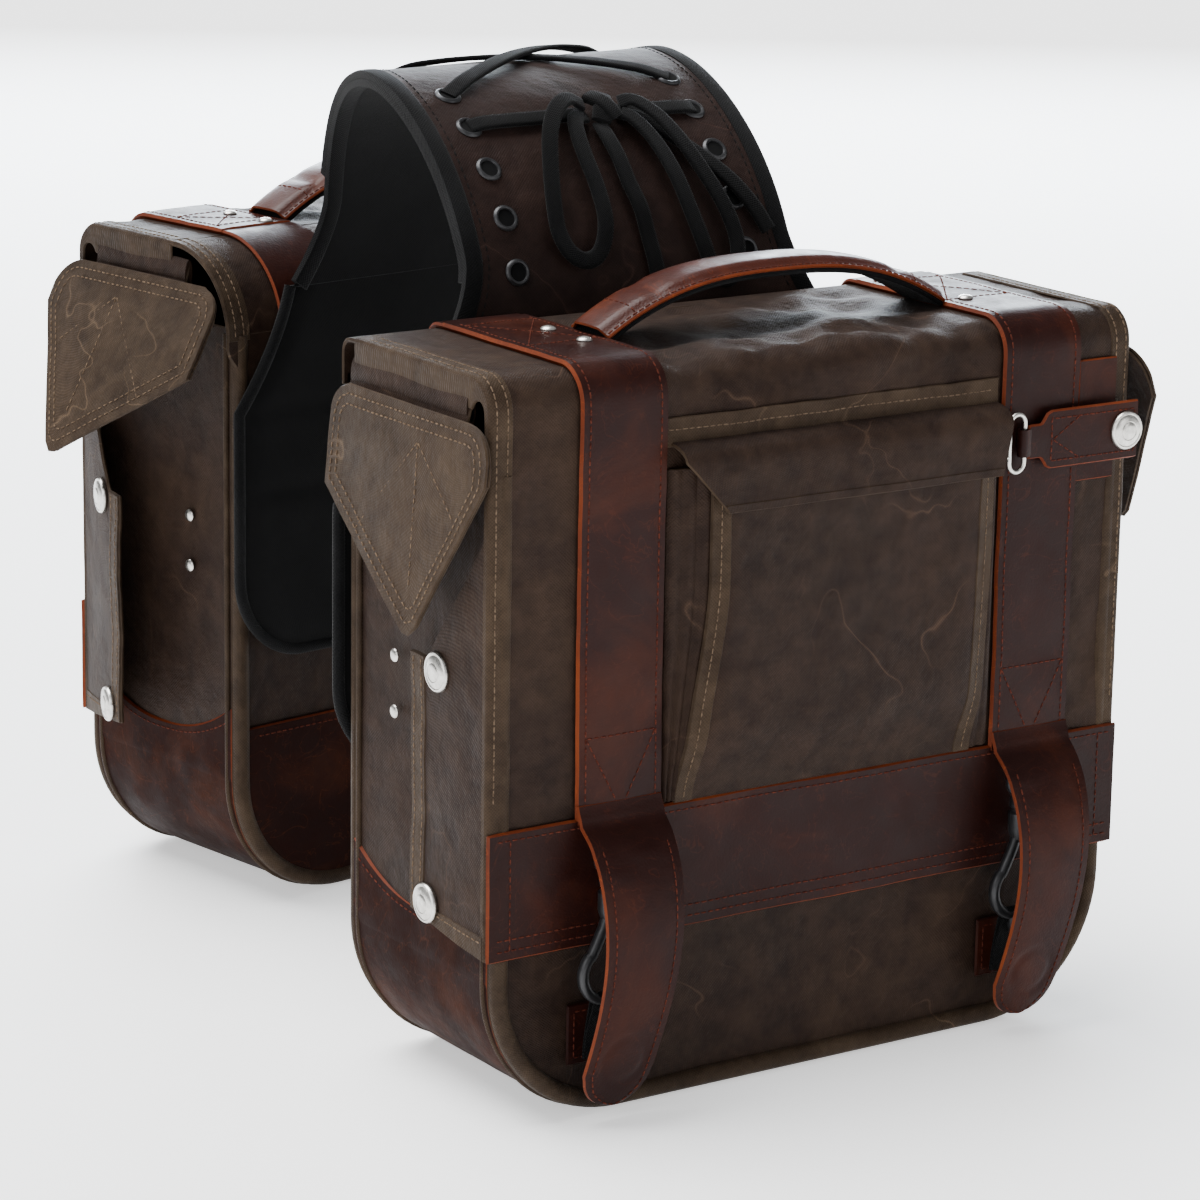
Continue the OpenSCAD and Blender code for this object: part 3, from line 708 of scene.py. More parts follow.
# Lace routes as [across, angle along the arch, height above it], as in part.scad
ROUTES = {
    "lace_loop_left": [[-2, 57, 4], [-10, 58, 7], [-20, 55, 8], [-29, 49, 7], [-35, 41, 5],
                       [-39, 33, 4], [-40, 26, 3], [-36, 21, 3], [-28, 19, 3], [-20, 21, 3],
                       [-15, 27, 4], [-14, 35, 4], [-15, 43, 5], [-13, 50, 5], [-8, 54, 3],
                       [-2, 55, 1]],
    "lace_loop_right": [[18, 57, 4], [24, 56, 7], [31, 51, 8], [38, 44, 7], [45, 36, 5],
                        [51, 28, 4], [54, 21, 3], [52, 15, 3], [46, 12, 3], [39, 14, 3],
                        [35, 20, 4], [32, 28, 4], [29, 37, 5], [25, 46, 5], [20, 52, 4.6],
                        [16, 54, 3.8]],
    "lace_tail_left": [[4, 52, 1], [3, 48, 3], [4, 42, 3], [5, 36, 2], [7, 30, 2], [8, 24, 1],
                       [9, 18, 1], [10, 12, 1]],
    "lace_tail_right": [[20, 55, 0.6], [28, 53, 1], [36, 49, 1], [45, 44, 1], [54, 39, 1],
                        [62, 34, 1], [69, 28, 1], [74, 22, 1]],
}


def arch_part(q):
    return (1 - math.cos(math.radians(q))) / 2


def arch_mid(q):
    p = NEAR_FOOT + (FAR_FOOT - NEAR_FOOT) * arch_part(q)
    return np.array([p[0], p[1], FOOT_Z + YOKE_RISE * math.sin(math.radians(q))])


def arch_across(q):
    a = math.radians(FAR_YAW * arch_part(q))
    return np.array([math.cos(a), math.sin(a), 0.0])


def arch_out(q):
    along = arch_mid(q + 0.5) - arch_mid(q - 0.5)
    n = np.cross(arch_across(q), along)
    return n / np.linalg.norm(n)


def arch_shift(h):
    return -13 * (1 - h) - 30 * h - 52 * h * (1 - h)


def arch_half_w(z):
    if z >= FLARE_TOP:
        return YOKE_HALF_W
    grow = ((FLARE_TOP - z) / (FLARE_TOP - PAD_FLARE)) ** 1.6
    return YOKE_HALF_W + (BAG_W / 2 - 2 - YOKE_HALF_W) * grow


def arch_point(q, u, off):
    """A point on the yoke: u across it, off outwards from its middle surface."""
    return arch_mid(q) + arch_across(q) * (u + arch_shift(arch_part(q))) + arch_out(q) * off


def smooth_line(points, per=6):
    """Catmull-Rom curve through points."""
    p = np.asarray(points, float)
    p = np.vstack([2 * p[0] - p[1], p, 2 * p[-1] - p[-2]])
    out = []
    for i in range(1, len(p) - 2):
        for t in np.linspace(0, 1, per, endpoint=False):
            a, b, c, d = p[i - 1:i + 3]
            out.append(0.5 * (2 * b + (c - a) * t + (2 * a - 5 * b + 4 * c - d) * t * t
                              + (3 * b - a - 3 * c + d) * t ** 3))
    return np.array(out + [p[-2]])


def lace_line(route, per=6):
    r = smooth_line(route, per)
    pts = np.array([arch_point(q, u, LACE_OFF + h) for u, q, h in r])
    return pts, np.array([arch_out(q) for _, q, _ in r])


def make_cords():
    """The bow's two loops and two tails, each a free flat lace."""
    section = strap_section(LACE_W, LACE_T)
    for node, route in ROUTES.items():
        pts, ups = lace_line(route)
        obj = sweeps(node.replace("lace", "bow"), 0, [dict(points=pts, section=section, ups=ups)],
                     "lace", "bag_frame", node)


def make_lacing():
    """Lace crossings between the eyelets and the knot that holds the bow."""
    section = strap_section(LACE_W, LACE_T)
    runs = []
    for s in (-1, 1):
        route = [[s * EYELET_U * (1 - 2 * t), ROW_Q[0] + (ROW_Q[1] - ROW_Q[0]) * t,
                  (0.35 + s * 1.25) * math.sin(math.pi * t) - 2.2 * (abs(2 * t - 1) ** 12)]
                 for t in np.linspace(0, 1, 13)]
        pts, ups = lace_line(route, 3)
        runs.append(dict(points=pts, section=section, ups=ups))
    for a, b in ((-EYELET_U, KNOT_U - 8), (KNOT_U + 8, EYELET_U)):
        route = [[a + (b - a) * t, KNOT_Q, -2.0 * max(abs(a + (b - a) * t) / EYELET_U, 0) ** 14]
                 for t in np.linspace(0, 1, 13)]
        pts, ups = lace_line(route, 3)
        runs.append(dict(points=pts, section=section, ups=ups))
    for k, turn in enumerate((-22, 24)):
        a = math.radians(90 + turn)
        route = [[KNOT_U + r * math.cos(a), KNOT_Q + r * math.sin(a) * 0.42,
                  2.4 + 2.6 * math.cos(math.pi / 2 * r / 11) + k * 0.8]
                 for r in np.linspace(-10, 10, 11)]
        pts, ups = lace_line(route, 3)
        runs.append(dict(points=pts, section=strap_section(LACE_W + 1.5, LACE_T + 1.6), ups=ups))
    sweeps("lace_crossings_and_knot", 0, runs, "lace", "bag_frame", "lace_crossings")


def yoke_grid(q0, q1, off, rows):
    grid = []
    for q in np.linspace(q0, q1, rows):
        hw = arch_half_w(arch_mid(q)[2]) - 2
        grid.append([arch_point(q, u * hw, off + swell((u * 40, q * 2, 0), 0.5, 30, off))
                     for u in np.linspace(-1, 1, 48)])
    return np.array(grid)


def make_yoke():
    """Two canvas layers lined with felt, bound with tape and joined by the lace."""
    layers = (("yoke_upper", 0, 151, 3.2, "yoke_upper"), ("yoke_lower", 17, 180, -0.3, "yoke_lower"))
    for name, q0, q1, off, node in layers:
        sheet = Sheet(0, yoke_grid(q0, q1, off, 90), 2.7)
        sheet.piece(name, ("yoke", "felt", "tape"), "bag_frame", node)
        stitches = Stitches(0)
        for s in (0.055, 0.945):
            stitches.on(sheet, [(s, 0.02), (s, 0.98)], samples=120, pitch=4.2, r=0.4)
        end = 0.985 if q0 == 0 else 0.02
        for t in (end, end - 0.02 if q0 == 0 else end + 0.02):
            stitches.on(sheet, [(0.06, t), (0.94, t)], samples=80, pitch=4.2, r=0.4)
        stitches.piece(name + "_stitches", "black_thread", "bag_frame")
    section = [(4.4, 0), (4.2, 1.6), (3, 2.15), (0, 2.3), (-3, 2.2), (-4.4, 1.7), (-4.5, 0),
               (-4.4, -1.7), (-3, -2.2), (0, -2.3), (3, -2.15), (4.2, -1.6)]
    runs = []
    for q0, q1, off in ((0, 151, 1.8), (17, 180, -1.7)):
        for s in (-1, 1):
            qs = np.linspace(q0, q1, 70)
            pts = [arch_point(q, s * (arch_half_w(arch_mid(q)[2]) - 4), off) for q in qs]
            runs.append(dict(points=pts, section=section, ups=[arch_out(q) for q in qs]))
    for q, off in ((151, 1.8), (17, -1.7)):
        us = np.linspace(-1, 1, 30) * (YOKE_HALF_W - 3)
        runs.append(dict(points=[arch_point(q, u, off) for u in us],
                         section=[(a * 0.5, b * 0.95) for a, b in section],
                         ups=[arch_out(q)] * 30))
    sweeps("yoke_binding", 0, runs, "tape", "bag_frame", "yoke_binding")


def make_eyelets():
    ring = [(4.0, -1.0), (4.05, 0.5), (4.4, 1.0), (5.1, 1.15), (5.8, 0.75), (6.2, 0.05), (6.1, -0.3)]
    back = [(r, -h) for r, h in ring]
    parts, hole_shades = [], []
    for q in ROW_Q:
        for s in (-1, 1):
            out, side = arch_out(q), arch_across(q)
            parts.append(lathe(ring, arch_point(q, s * EYELET_U, 3.4), out, side)[:2])
            parts.append(lathe(back, arch_point(q, s * EYELET_U, -3.2), out, side)[:2])
            # A black felt disc in each eyelet's opening: painted shade standing in for the dark hole
            # through the yoke
            hole_shades.append(lathe([(0.2, -0.3), (4.1, -0.3), (4.1, 0.25), (0.2, 0.25)],
                               arch_point(q, s * EYELET_U, 3.4), out, side))
    open_rings = []
    for v, f in parts:
        open_rings.append((v, f[:-2], [(0.0, 0.0)] * 4 * (len(f) - 2)))
    turned("yoke_eyelets", 0, open_rings, "black_metal", "bag_frame", "yoke_eyelets")
    turned("eyelet_hole_painted_shade", 0, hole_shades, "felt", "bag_frame")


def pad_rows(bag):
    """Left and right edge of a bag's back pad at each height."""
    shift = arch_shift(0) if bag == 0 else -arch_shift(1)
    rows = []
    for z in np.concatenate([PAD_LOW + 40 * (1 - np.cos(np.linspace(0.12, math.pi / 2, 12))),
                             np.linspace(168, PAD_FLARE, 22)[1:],
                             np.linspace(PAD_FLARE, FOOT_Z, 16)[1:]]):
        if z < 168:
            half = 128 + math.sqrt(max(1600 - (168 - z) ** 2, 0))
            rows.append((z, -half, half))
        else:
            half = min(arch_half_w(z), 168) if z > PAD_FLARE else 168
            move = shift * max(z - PAD_FLARE, 0) / (FOOT_Z - PAD_FLARE)
            rows.append((z, -half + move, half + move))
    return rows


def make_pads():
    """Felt pads on the bags' backs, quilted across, that flare up into the yoke."""
    for nm, bag in BAGS.items():
        rows = pad_rows(bag)
        cols = np.sin(np.linspace(-math.pi / 2, math.pi / 2, 64))
        grid = np.array([[((a + b) / 2 + (b - a) / 2 * c, PAD_Y, z) for c in cols]
                         for z, a, b in rows])
        half = np.zeros(grid.shape[:2])
        for i, (z, a, b) in enumerate(rows):
            for j, c in enumerate(cols):
                edge = min(grid[i, j, 0] - a, b - grid[i, j, 0], z - PAD_LOW)
                seam = min(abs(z - 249), abs(z - 209)) if abs(c) < 0.97 else 9
                full = 0.9 + 1.6 * float(fade(edge, 0, 14))
                half[i, j] = full * (0.55 + 0.45 * float(fade(seam, 0, 7))) if z < 260 else full
        obj = pillow(nm + "_back_pad", bag, grid, half, True, "felt")
        finish_piece(obj, "bag_frame", "felt", "yoke_pads")
        edge = ([(b, PAD_Y, z) for z, a, b in reversed(rows)]
                + [(x, PAD_Y, PAD_LOW + 0.2) for x in np.linspace(120, -120, 20)]
                + [(a, PAD_Y, z) for z, a, b in rows])
        sweeps(nm + "_pad_binding", bag,
               [dict(points=edge, section=round_section(2.9, 10, 0.9), first=(0, 1, 0))], "tape",
               "bag_frame")


# ---- Bag bodies -----------------------------------------------------------------------


def outline_half(z, inset=0.0):
    """Half width of the bag's front outline at a height."""
    if z >= CORNER_R:
        return BODY_X - inset
    return BODY_X - CORNER_R + math.sqrt(max((CORNER_R - inset) ** 2 - (CORNER_R - z) ** 2, 0))


def panel_rows(top, inset):
    low = [inset + (CORNER_R - inset) * (1 - math.cos(a)) for a in np.linspace(0, math.pi / 2, 18)]
    return low + list(np.linspace(CORNER_R, top, int((top - CORNER_R) / 7) + 3)[1:])


def panel_grid(y, top, inset, cols=64):
    return np.array([[(c * outline_half(z, inset), y, z) for c in np.linspace(-1, 1, cols)]
                     for z in panel_rows(top, inset)])


def outline_path(top, inset, step=4):
    """The bag outline from the right end's top, round the floor, to the left end's top."""
    r, x = CORNER_R - inset, BODY_X - inset
    down = [(x, z) for z in np.linspace(top, CORNER_R, int((top - CORNER_R) / step) + 2)]
    bend = [(BODY_X - CORNER_R + r * math.cos(a), CORNER_R - r * math.sin(a))
            for a in np.linspace(0, math.pi / 2, 20)[1:]]
    half = down + bend
    floor = [(v, inset) for v in np.linspace(BODY_X - CORNER_R, -(BODY_X - CORNER_R), 40)[1:-1]]
    return half + floor + [(-a, b) for a, b in reversed(half)]


def leather_top(y):
    """Height of the leather base's curved upper edge on the bag's ends."""
    return 83 + 17 * (abs(y) / 53) ** 2.2


def make_body(nm, bag):
    grid = panel_grid(-BODY_Y, RIM_Z, 1.0)
    low = fade(grid[..., 2], 76, 58) * fade(BODY_X - np.abs(grid[..., 0]), 3, 22)
    grid = roughen(grid, 1.3, 55, 2.0 + bag, mask=low)
    front = Sheet(bag, grid, 2.6)
    front.piece(nm + "_front_panel", CANVAS, "bag_frame", "front_panels")
    grid = panel_grid(BODY_Y, RIM_Z, 1.0)
    grid = roughen(grid, 0.24, 60, 4.0 + bag)
    back = Sheet(bag, grid, 2.6, flip=True)
    back.piece(nm + "_back_panel", CANVAS, "bag_frame", "back_panels")
    make_ends(nm, bag)
    make_base(nm, bag)
    make_piping(nm, bag)


def make_ends(nm, bag):
    """Canvas end walls, a little slack, with a hem at the rim."""
    for label, side in SIDES:
        ys, zs = np.linspace(-54, 54, 34), np.linspace(66, RIM_Z, 60)
        grid = np.array([[(side * (BODY_X - 1.0), y, z) for y in ys] for z in zs])
        slack = np.outer(fade(zs, 70, 130), np.cos(ys / 54 * math.pi / 2) ** 0.8)
        for i in range(len(zs)):
            for j in range(len(ys)):
                fold = swell((ys[j], zs[i] * 0.5, side * 9), 2.2, 34, 7.0 + bag)
                grid[i, j, 0] -= side * slack[i, j] * (2.0 + fold)
        sheet = Sheet(bag, grid, 2.2, flip=side < 0)
        sheet.piece(f"{nm}_end_{label}", CANVAS, "bag_frame", "gussets")


def make_base(nm, bag):
    """Leather floor and lower ends, and the leather foot of the back."""
    ys = np.linspace(-54.5, 54.5, 34)
    line = outline_path(CORNER_R, 0.3)
    cols = []
    for y in ys:
        top = leather_top(y)
        rise = [(BODY_X + 0.2, z) for z in np.linspace(top, CORNER_R + 2, 9)]
        cols.append(rise + line + [(-a, b) for a, b in reversed(rise)])
    grid = np.array([[(c[k][0], y, c[k][1]) for y, c in zip(ys, cols)]
                     for k in range(len(cols[0]))])
    mask = (np.cos(grid[..., 1] / 55 * math.pi / 2) ** 0.5) * fade(grid[..., 2], 1, 30)
    grid = roughen(grid, 1.1, 42, 11.0 + bag, normals=-grid_normals(grid), mask=mask)
    sheet = Sheet(bag, grid, 2.4, flip=True)
    sheet.piece(nm + "_leather_base", BASE, "bag_frame", f"{nm}_base")
    stitches = Stitches(bag)
    for t in (0.013, 0.987):
        stitches.on(sheet, [(0.03, t), (0.97, t)], samples=60, pitch=3.6, r=0.4)
    grid = panel_grid(BODY_Y + 2.2, BASE_H, 7.5)
    back = Sheet(bag, grid, 2.0, flip=True)
    back.piece(nm + "_back_foot", BASE, "bag_frame")
    stitches.on(back, [(0.02, 0.965), (0.98, 0.965)], samples=120, pitch=3.6, r=0.4)
    stitches.piece(nm + "_base_stitches", "dark_thread", "bag_frame")


def make_piping(nm, bag):
    runs = []
    for y, top in ((-BODY_Y - 0.2, RIM_Z - 2), (BODY_Y + 0.2, RIM_Z - 2)):
        line = outline_path(top, 4.4)
        pts = [(x, y, z) for x, z in line]
        runs.append(dict(points=pts, section=round_section(4.2, 12), first=(0, 1, 0)))
        lip = outline_path(top, 0.6)
        inner = y + (5.4 if y < 0 else -5.4)
        runs.append(dict(points=[(x, inner, z) for x, z in lip],
                         section=round_section(1.5, 8), first=(0, 1, 0)))
    sweeps(nm + "_piping", bag, runs, "hem", "bag_frame", "piping")


def fold_profile(bag, lift):
    """Points where the lid turns from its top down the back, and where it meets the drop."""
    top, face = BAG_H - 0.3 + lift, 59.2 + lift
    across = 7 + lift if bag == 0 else face - seam_y(bag) - 2
    down = across if bag == 0 else 42 + lift
    prof = [(y, top) for y in np.linspace(seam_y(bag) - 4, face - across, 6)]
    prof += [(face - across + across * math.sin(a), top - down + down * math.cos(a))
             for a in np.linspace(0, math.pi / 2, 9 if bag == 0 else 20)[1:]]
    if bag == 0:
        prof += [(face, z) for z in np.linspace(top - down, 305, 7)[1:]]
    return prof


def blend_piece(obj, bag, bodies, start, end, mat, *nodes):
    """Bakes a piece's placement into its mesh and hides the CAD nodes it stands for."""
    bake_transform(obj)
    if nodes:
        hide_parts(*nodes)


def blend_fold(obj, nm, bag, mat):
    """Bakes a piece of the fold in place through blend_piece, with the lid's top and the fixed drop
    given as its ends.
    """
    start, end = ((0, 50, 326), (0, 59, 312)) if bag == 0 else ((0, 17, 326), (0, 59, 289))
    blend_piece(obj, bag, (nm + "_cover", "bag_frame"), start, end, mat)


def make_folds(nm, bag):
    """Lid and straps where they turn down the back."""
    for label, x0, x1, lift, mat, half_t in (
            ("lid_fold", -BAG_W / 2, BAG_W / 2, 0.0, "canvas", 1.9),
            ("strap_fold_left", strap_at(-1) - 21, strap_at(-1) + 21, 2.7, "leather", 2.3),
            ("strap_fold_right", strap_at(1) - 21, strap_at(1) + 21, 2.7, "leather", 2.3)):
        cols = 80 if lift == 0 else 14
        grid = np.array([[(x, y, z) for x in np.linspace(x0 + 0.3, x1 - 0.3, cols)]
                         for y, z in fold_profile(bag, lift)])
        sheet = Sheet(bag, grid, half_t)
        edge = "hem" if lift == 0 else "edge"
        blend_fold(sheet.build(f"{nm}_{label}", (mat, mat, edge)), nm, bag, mat)
        if lift == 0 and bag == 1:
            make_fold_hems(nm, bag, sheet)


def make_fold_hems(nm, bag, sheet):
    """Stitched hems along both ends of a rounded fold."""
    stitches = Stitches(bag)
    for label, s0, s1 in (("left", 0.0, 0.036), ("right", 0.964, 1.0)):
        hem = overlay(sheet, s0, s1, 0.0, 1.0, 0.7, 1.2, cols=6, rows=26)
        blend_fold(hem.build(f"{nm}_fold_hem_{label}", HEM), nm, bag, "hem")
        for s in (0.3, 0.7):
            stitches.on(hem, [(s, 0.02), (s, 0.98)], samples=60, pitch=3.4, r=0.4)
    blend_fold(stitches.build(nm + "_fold_stitches", "brown_thread"), nm, bag, "brown_thread")


def drop_half(bag, z):
    """Half width of the canvas down the back, which widens into the fold above."""
    if bag == 1:
        return BODY_X - 10 + 13.7 * float(fade(z, 258, 280))
    return BAG_W / 2 - 2 if z > 290 else BODY_X - 10 + 13 * float(fade(z, 282, 291))


def make_back_drop(nm, bag):
    """Lid canvas fixed down the back, and the straps' ends over it."""
    top = 309 if bag == 0 else 286
    grid = np.array([[(c * drop_half(bag, z), 59.5, z) for c in np.linspace(-1, 1, 60)]
                     for z in np.linspace(225, top, 30)])
    drop = Sheet(bag, grid, 2.2, flip=True)
    drop.piece(nm + "_back_drop", CANVAS, "bag_frame", "back_drops")
    stitches = Stitches(bag)
    for t in (0.04, 0.09):
        stitches.on(drop, [(0.03, t), (0.97, t)], samples=90)
    stitches.piece(nm + "_drop_stitches", "brown_thread", "bag_frame")
    strap_stitches = Stitches(bag)
    for label, side in SIDES:
        xs = strap_at(side) + np.linspace(-STRAP_W / 2, STRAP_W / 2, 14)
        grid = np.array([[(x, 62, z) for x in xs] for z in np.linspace(219, top, 30)])
        strap = Sheet(bag, grid, 2.3, flip=True)
        strap.piece(f"{nm}_strap_back_{label}", LEATHER, "bag_frame", "strap_backs")
        strap_stitches.on(strap, [(0.08, 0.99), (0.08, 0.04), (0.92, 0.04), (0.92, 0.99)],
                          samples=90, pitch=3.6, r=0.4)
    strap_stitches.piece(nm + "_strap_back_stitches", "dark_thread", "bag_frame")
    make_folds(nm, bag)


# ---- Lid ------------------------------------------------------------------------------


def lid_profile(bag, lift=0.0, low=LID_LOW, rows=52):
    """Points down the lid from its back to the flap's lower edge, and outward normals."""
    r = LID_R + lift
    cy, cz = -LID_FACE + LID_R, BAG_H - LID_R
    pts = [((y, BAG_H + lift), (0, 1)) for y in np.linspace(seam_y(bag), cy, 22)]
    pts += [((cy - r * math.sin(a), cz + r * math.cos(a)), (-math.sin(a), math.cos(a)))
            for a in np.linspace(0, math.pi / 2, 12)[1:]]
    pts += [((-LID_FACE - lift, z), (-1, 0)) for z in np.linspace(cz, low, rows)[1:]]
    return pts


def lid_slack(bag, x, y, z):
    """How far the canvas stands off the lid's true shape: puffed and dented between straps."""
    open_x = float(fade(abs(x), 93, 70))
    on_top = float(fade(z, 296, 318))
    at_back = float(fade(y, seam_y(bag) - 2, seam_y(bag) - 14))
    top = (swell((x, y * 1.3, 0), 6.2, 46, 21.0 + bag) - 0.8) * on_top * at_back * open_x
    edge = float(fade(abs(x), 141, 148)) * float(fade(abs(x), 169, 160))
    ends = swell((x, y, z), 1.3, 30, 31.0 + bag) * edge
    front = swell((x, 0, z), 0.7, 40, 41.0 + bag) * (1 - on_top) * open_x * float(fade(z, 290, 300))
    return top + ends + front


def make_lid(nm, bag):
    cover = nm + "_cover"
    xs = np.linspace(-BAG_W / 2 + 0.5, BAG_W / 2 - 0.5, 110)
    prof = lid_profile(bag)
    grid = np.array([[(x, y + n[0] * lid_slack(bag, x, y, z), z + n[1] * lid_slack(bag, x, y, z))
                      for x in xs] for (y, z), n in prof])
    lid = Sheet(bag, grid, 2.0, flip=True)
    lid.piece(nm + "_lid", CANVAS, cover, nm + "_lid")
    make_lid_edges(nm, bag)
    make_band(nm, bag)
    make_straps(nm, bag)


def end_roll_y(bag):
    """How far back the roll under the lid's end reaches."""
    return 50 if bag == 0 else 27


def lip_depth(y, z):
    """How far the lid's edge folds down over the end: deep on top, shallow at the front."""
    return 2.0 + 10.0 * float(fade(z, 296, 322)) * float(fade(y, -62, -46))


def make_lid_edges(nm, bag):
    """Folded hem round the lid's ends, and the canvas roll under each that a patch hangs on."""
    cover = nm + "_cover"
    stitches = Stitches(bag)
    for label, side in SIDES:
        rows = []
        for (y, z), n in lid_profile(bag):
            lift = 0.7 + swell((y, z, side * 5), 0.3, 20, 3.0)
            row = [(BAG_W / 2 - 2.2 - a, y + n[0] * lift, z + n[1] * lift)
                   for a in np.linspace(8.5, 0, 6)]
            for a in np.linspace(0.3, math.pi / 2, 5):
                d = 2.2 * (1 - math.cos(a))
                row.append((BAG_W / 2 - 2.2 + 2.4 * math.sin(a), y + n[0] * (lift - d),
                            z + n[1] * (lift - d)))
            depth = lip_depth(y, z)
            for d in np.linspace(2.2, 2.2 + depth, 6)[1:]:
                row.append((BAG_W / 2 + 0.2, y + n[0] * (lift - d), z + n[1] * (lift - d)))
            rows.append(row)
        grid = np.array(rows)
        grid[..., 0] *= side
        hem = Sheet(bag, grid, 1.4, flip=side > 0)
        hem.piece(f"{nm}_lid_hem_{label}", ("hem", "canvas", "hem"), cover)
        for s in (0.09, 0.30):
            stitches.on(hem, [(s, 0.02), (s, 0.82)], samples=120, pitch=3.4, r=0.4)
        roll = [(side * 168.6, y, 311 + 0.5 * math.sin(y / 9))
                for y in np.linspace(-43, end_roll_y(bag), 24)]
        section = [(7.5 * math.cos(a), 2.3 * math.sin(a)) for a in np.linspace(0, 2 * math.pi, 15)[:-1]]
        sweeps(f"{nm}_end_roll_{label}", bag,
               [dict(points=roll, section=section, ups=[(side, 0, 0)] * 24)], "canvas", cover)
        # A black felt disc on the roll's front end: painted shade standing in for the dark hollow
        # inside the roll
        roll_mouth_shade = [(side * 168.6, y, 311) for y in (-43.4, -42.6)]
        sweeps(f"{nm}_roll_end_{label}", bag,
               [dict(points=roll_mouth_shade, section=[(a * 0.62, b * 0.5) for a, b in section],
                     ups=[(side, 0, 0)] * 2)], "felt", cover)
    stitches.piece(nm + "_lid_hem_stitches", "brown_thread", cover)


def make_band(nm, bag):
    cover = nm + "_cover"
    xs = np.linspace(-BAG_W / 2 + 0.4, BAG_W / 2 - 0.4, 90)
    grid = np.array([[(x, -62.2 + swell((x, 0, z), 0.35, 34, 5.0 + bag), z
                       + swell((x, 3, 0), 0.9, 60, 8.0 + bag) * (1 if k in (0, 13) else 0.6))
                      for x in xs] for k, z in enumerate(np.linspace(LID_LOW, BAND_TOP, 14))])
    band = Sheet(bag, grid, 2.6)
    band.piece(nm + "_band", LEATHER, cover, nm + "_band")
    stitches = Stitches(bag)
    for route in ([(0.01, 0.95), (0.99, 0.95)], [(0.01, 0.07), (0.99, 0.07)],
                  [(0.01, 0.16), (0.99, 0.16)], [(0.03, 0.06), (0.03, 0.95)],
                  [(0.97, 0.06), (0.97, 0.95)]):
        stitches.on(band, route, samples=150, pitch=3.6, r=0.42)
    stitches.piece(nm + "_band_stitches", "dark_thread", cover)


def make_straps(nm, bag):
    """Leather straps over the lid, stitched along both edges, with a crossed box on top."""
    cover = nm + "_cover"
    stitches = Stitches(bag)
    for label, side in SIDES:
        prof = lid_profile(bag, lift=3.0, low=BAND_TOP - 1.5, rows=60)
        grid = []
        for (y, z), n in prof:
            row = []
            for a in np.linspace(-1, 1, 16):
                x = strap_at(side) + a * STRAP_W / 2 + swell((0, y, z), 0.5, 40, side + bag)
                crown = 0.35 * (1 - a * a) + swell((x, y, z), 0.25, 18, 2.0)
                row.append((x, y + n[0] * crown, z + n[1] * crown))
            grid.append(row)
        strap = Sheet(bag, np.array(grid), 2.9, flip=True)
        strap.piece(f"{nm}_strap_{label}", LEATHER, cover, nm + "_straps")
        for s in (0.075, 0.925):
            stitches.on(strap, [(s, 0.02), (s, 0.99)], samples=220, pitch=3.5, r=0.42)
        for route in ([(0.08, 0.03), (0.92, 0.03)], [(0.08, 0.155), (0.92, 0.155)],
                      [(0.08, 0.03), (0.92, 0.155)], [(0.92, 0.03), (0.08, 0.155)],
                      [(0.08, 0.865), (0.92, 0.865)], [(0.08, 0.99), (0.92, 0.99)],
                      [(0.08, 0.865), (0.5, 0.985), (0.92, 0.865)]):
            stitches.on(strap, route, samples=60, pitch=3.5, r=0.42)
    stitches.piece(nm + "_strap_stitches", "dark_thread", cover)
    keeper_grid = np.array([[(x, -61.7, z) for x in np.linspace(140, 161, 8)]
                            for z in np.linspace(251, 305, 16)])
    keeper = Sheet(bag, keeper_grid, 1.8)
    keeper.piece(nm + "_keeper", LEATHER, cover)


# ---- Tongues, hooks and anchors -----------------------------------------------------------


TONGUE_ROOT_Z, TONGUE_LONG, TONGUE_TIP_R, TONGUE_LEAN = 131, 124, 17, 7
TIP_Z = TONGUE_ROOT_Z - TONGUE_LONG + TONGUE_TIP_R
MAGNET_Z, MAGNET_R = 29, 11


def tongue_row(side, z):
    """Middle, half width and outer face of a tongue at a height."""
    t = (TONGUE_ROOT_Z - z) / TONGUE_LONG
    mid = strap_at(side)
    if t < 0:
        return mid, STRAP_W / 2, -63.1 - 3.3 * float(fade(z, 141, TONGUE_ROOT_Z))
    y = -64 - 19 * math.sin(math.pi * min(t, 1) ** 0.7) - 6 * t - 2.4
    half = STRAP_W / 2 - 3.5 * math.sin(math.pi / 2 * t)
    lean = -TONGUE_LEAN * min(t / (1 - TONGUE_TIP_R / TONGUE_LONG), 1) ** 2
    if z < TIP_Z:
        half = math.sqrt(max(TONGUE_TIP_R ** 2 - (TIP_Z - z) ** 2, 0))
    return mid + lean, half, y


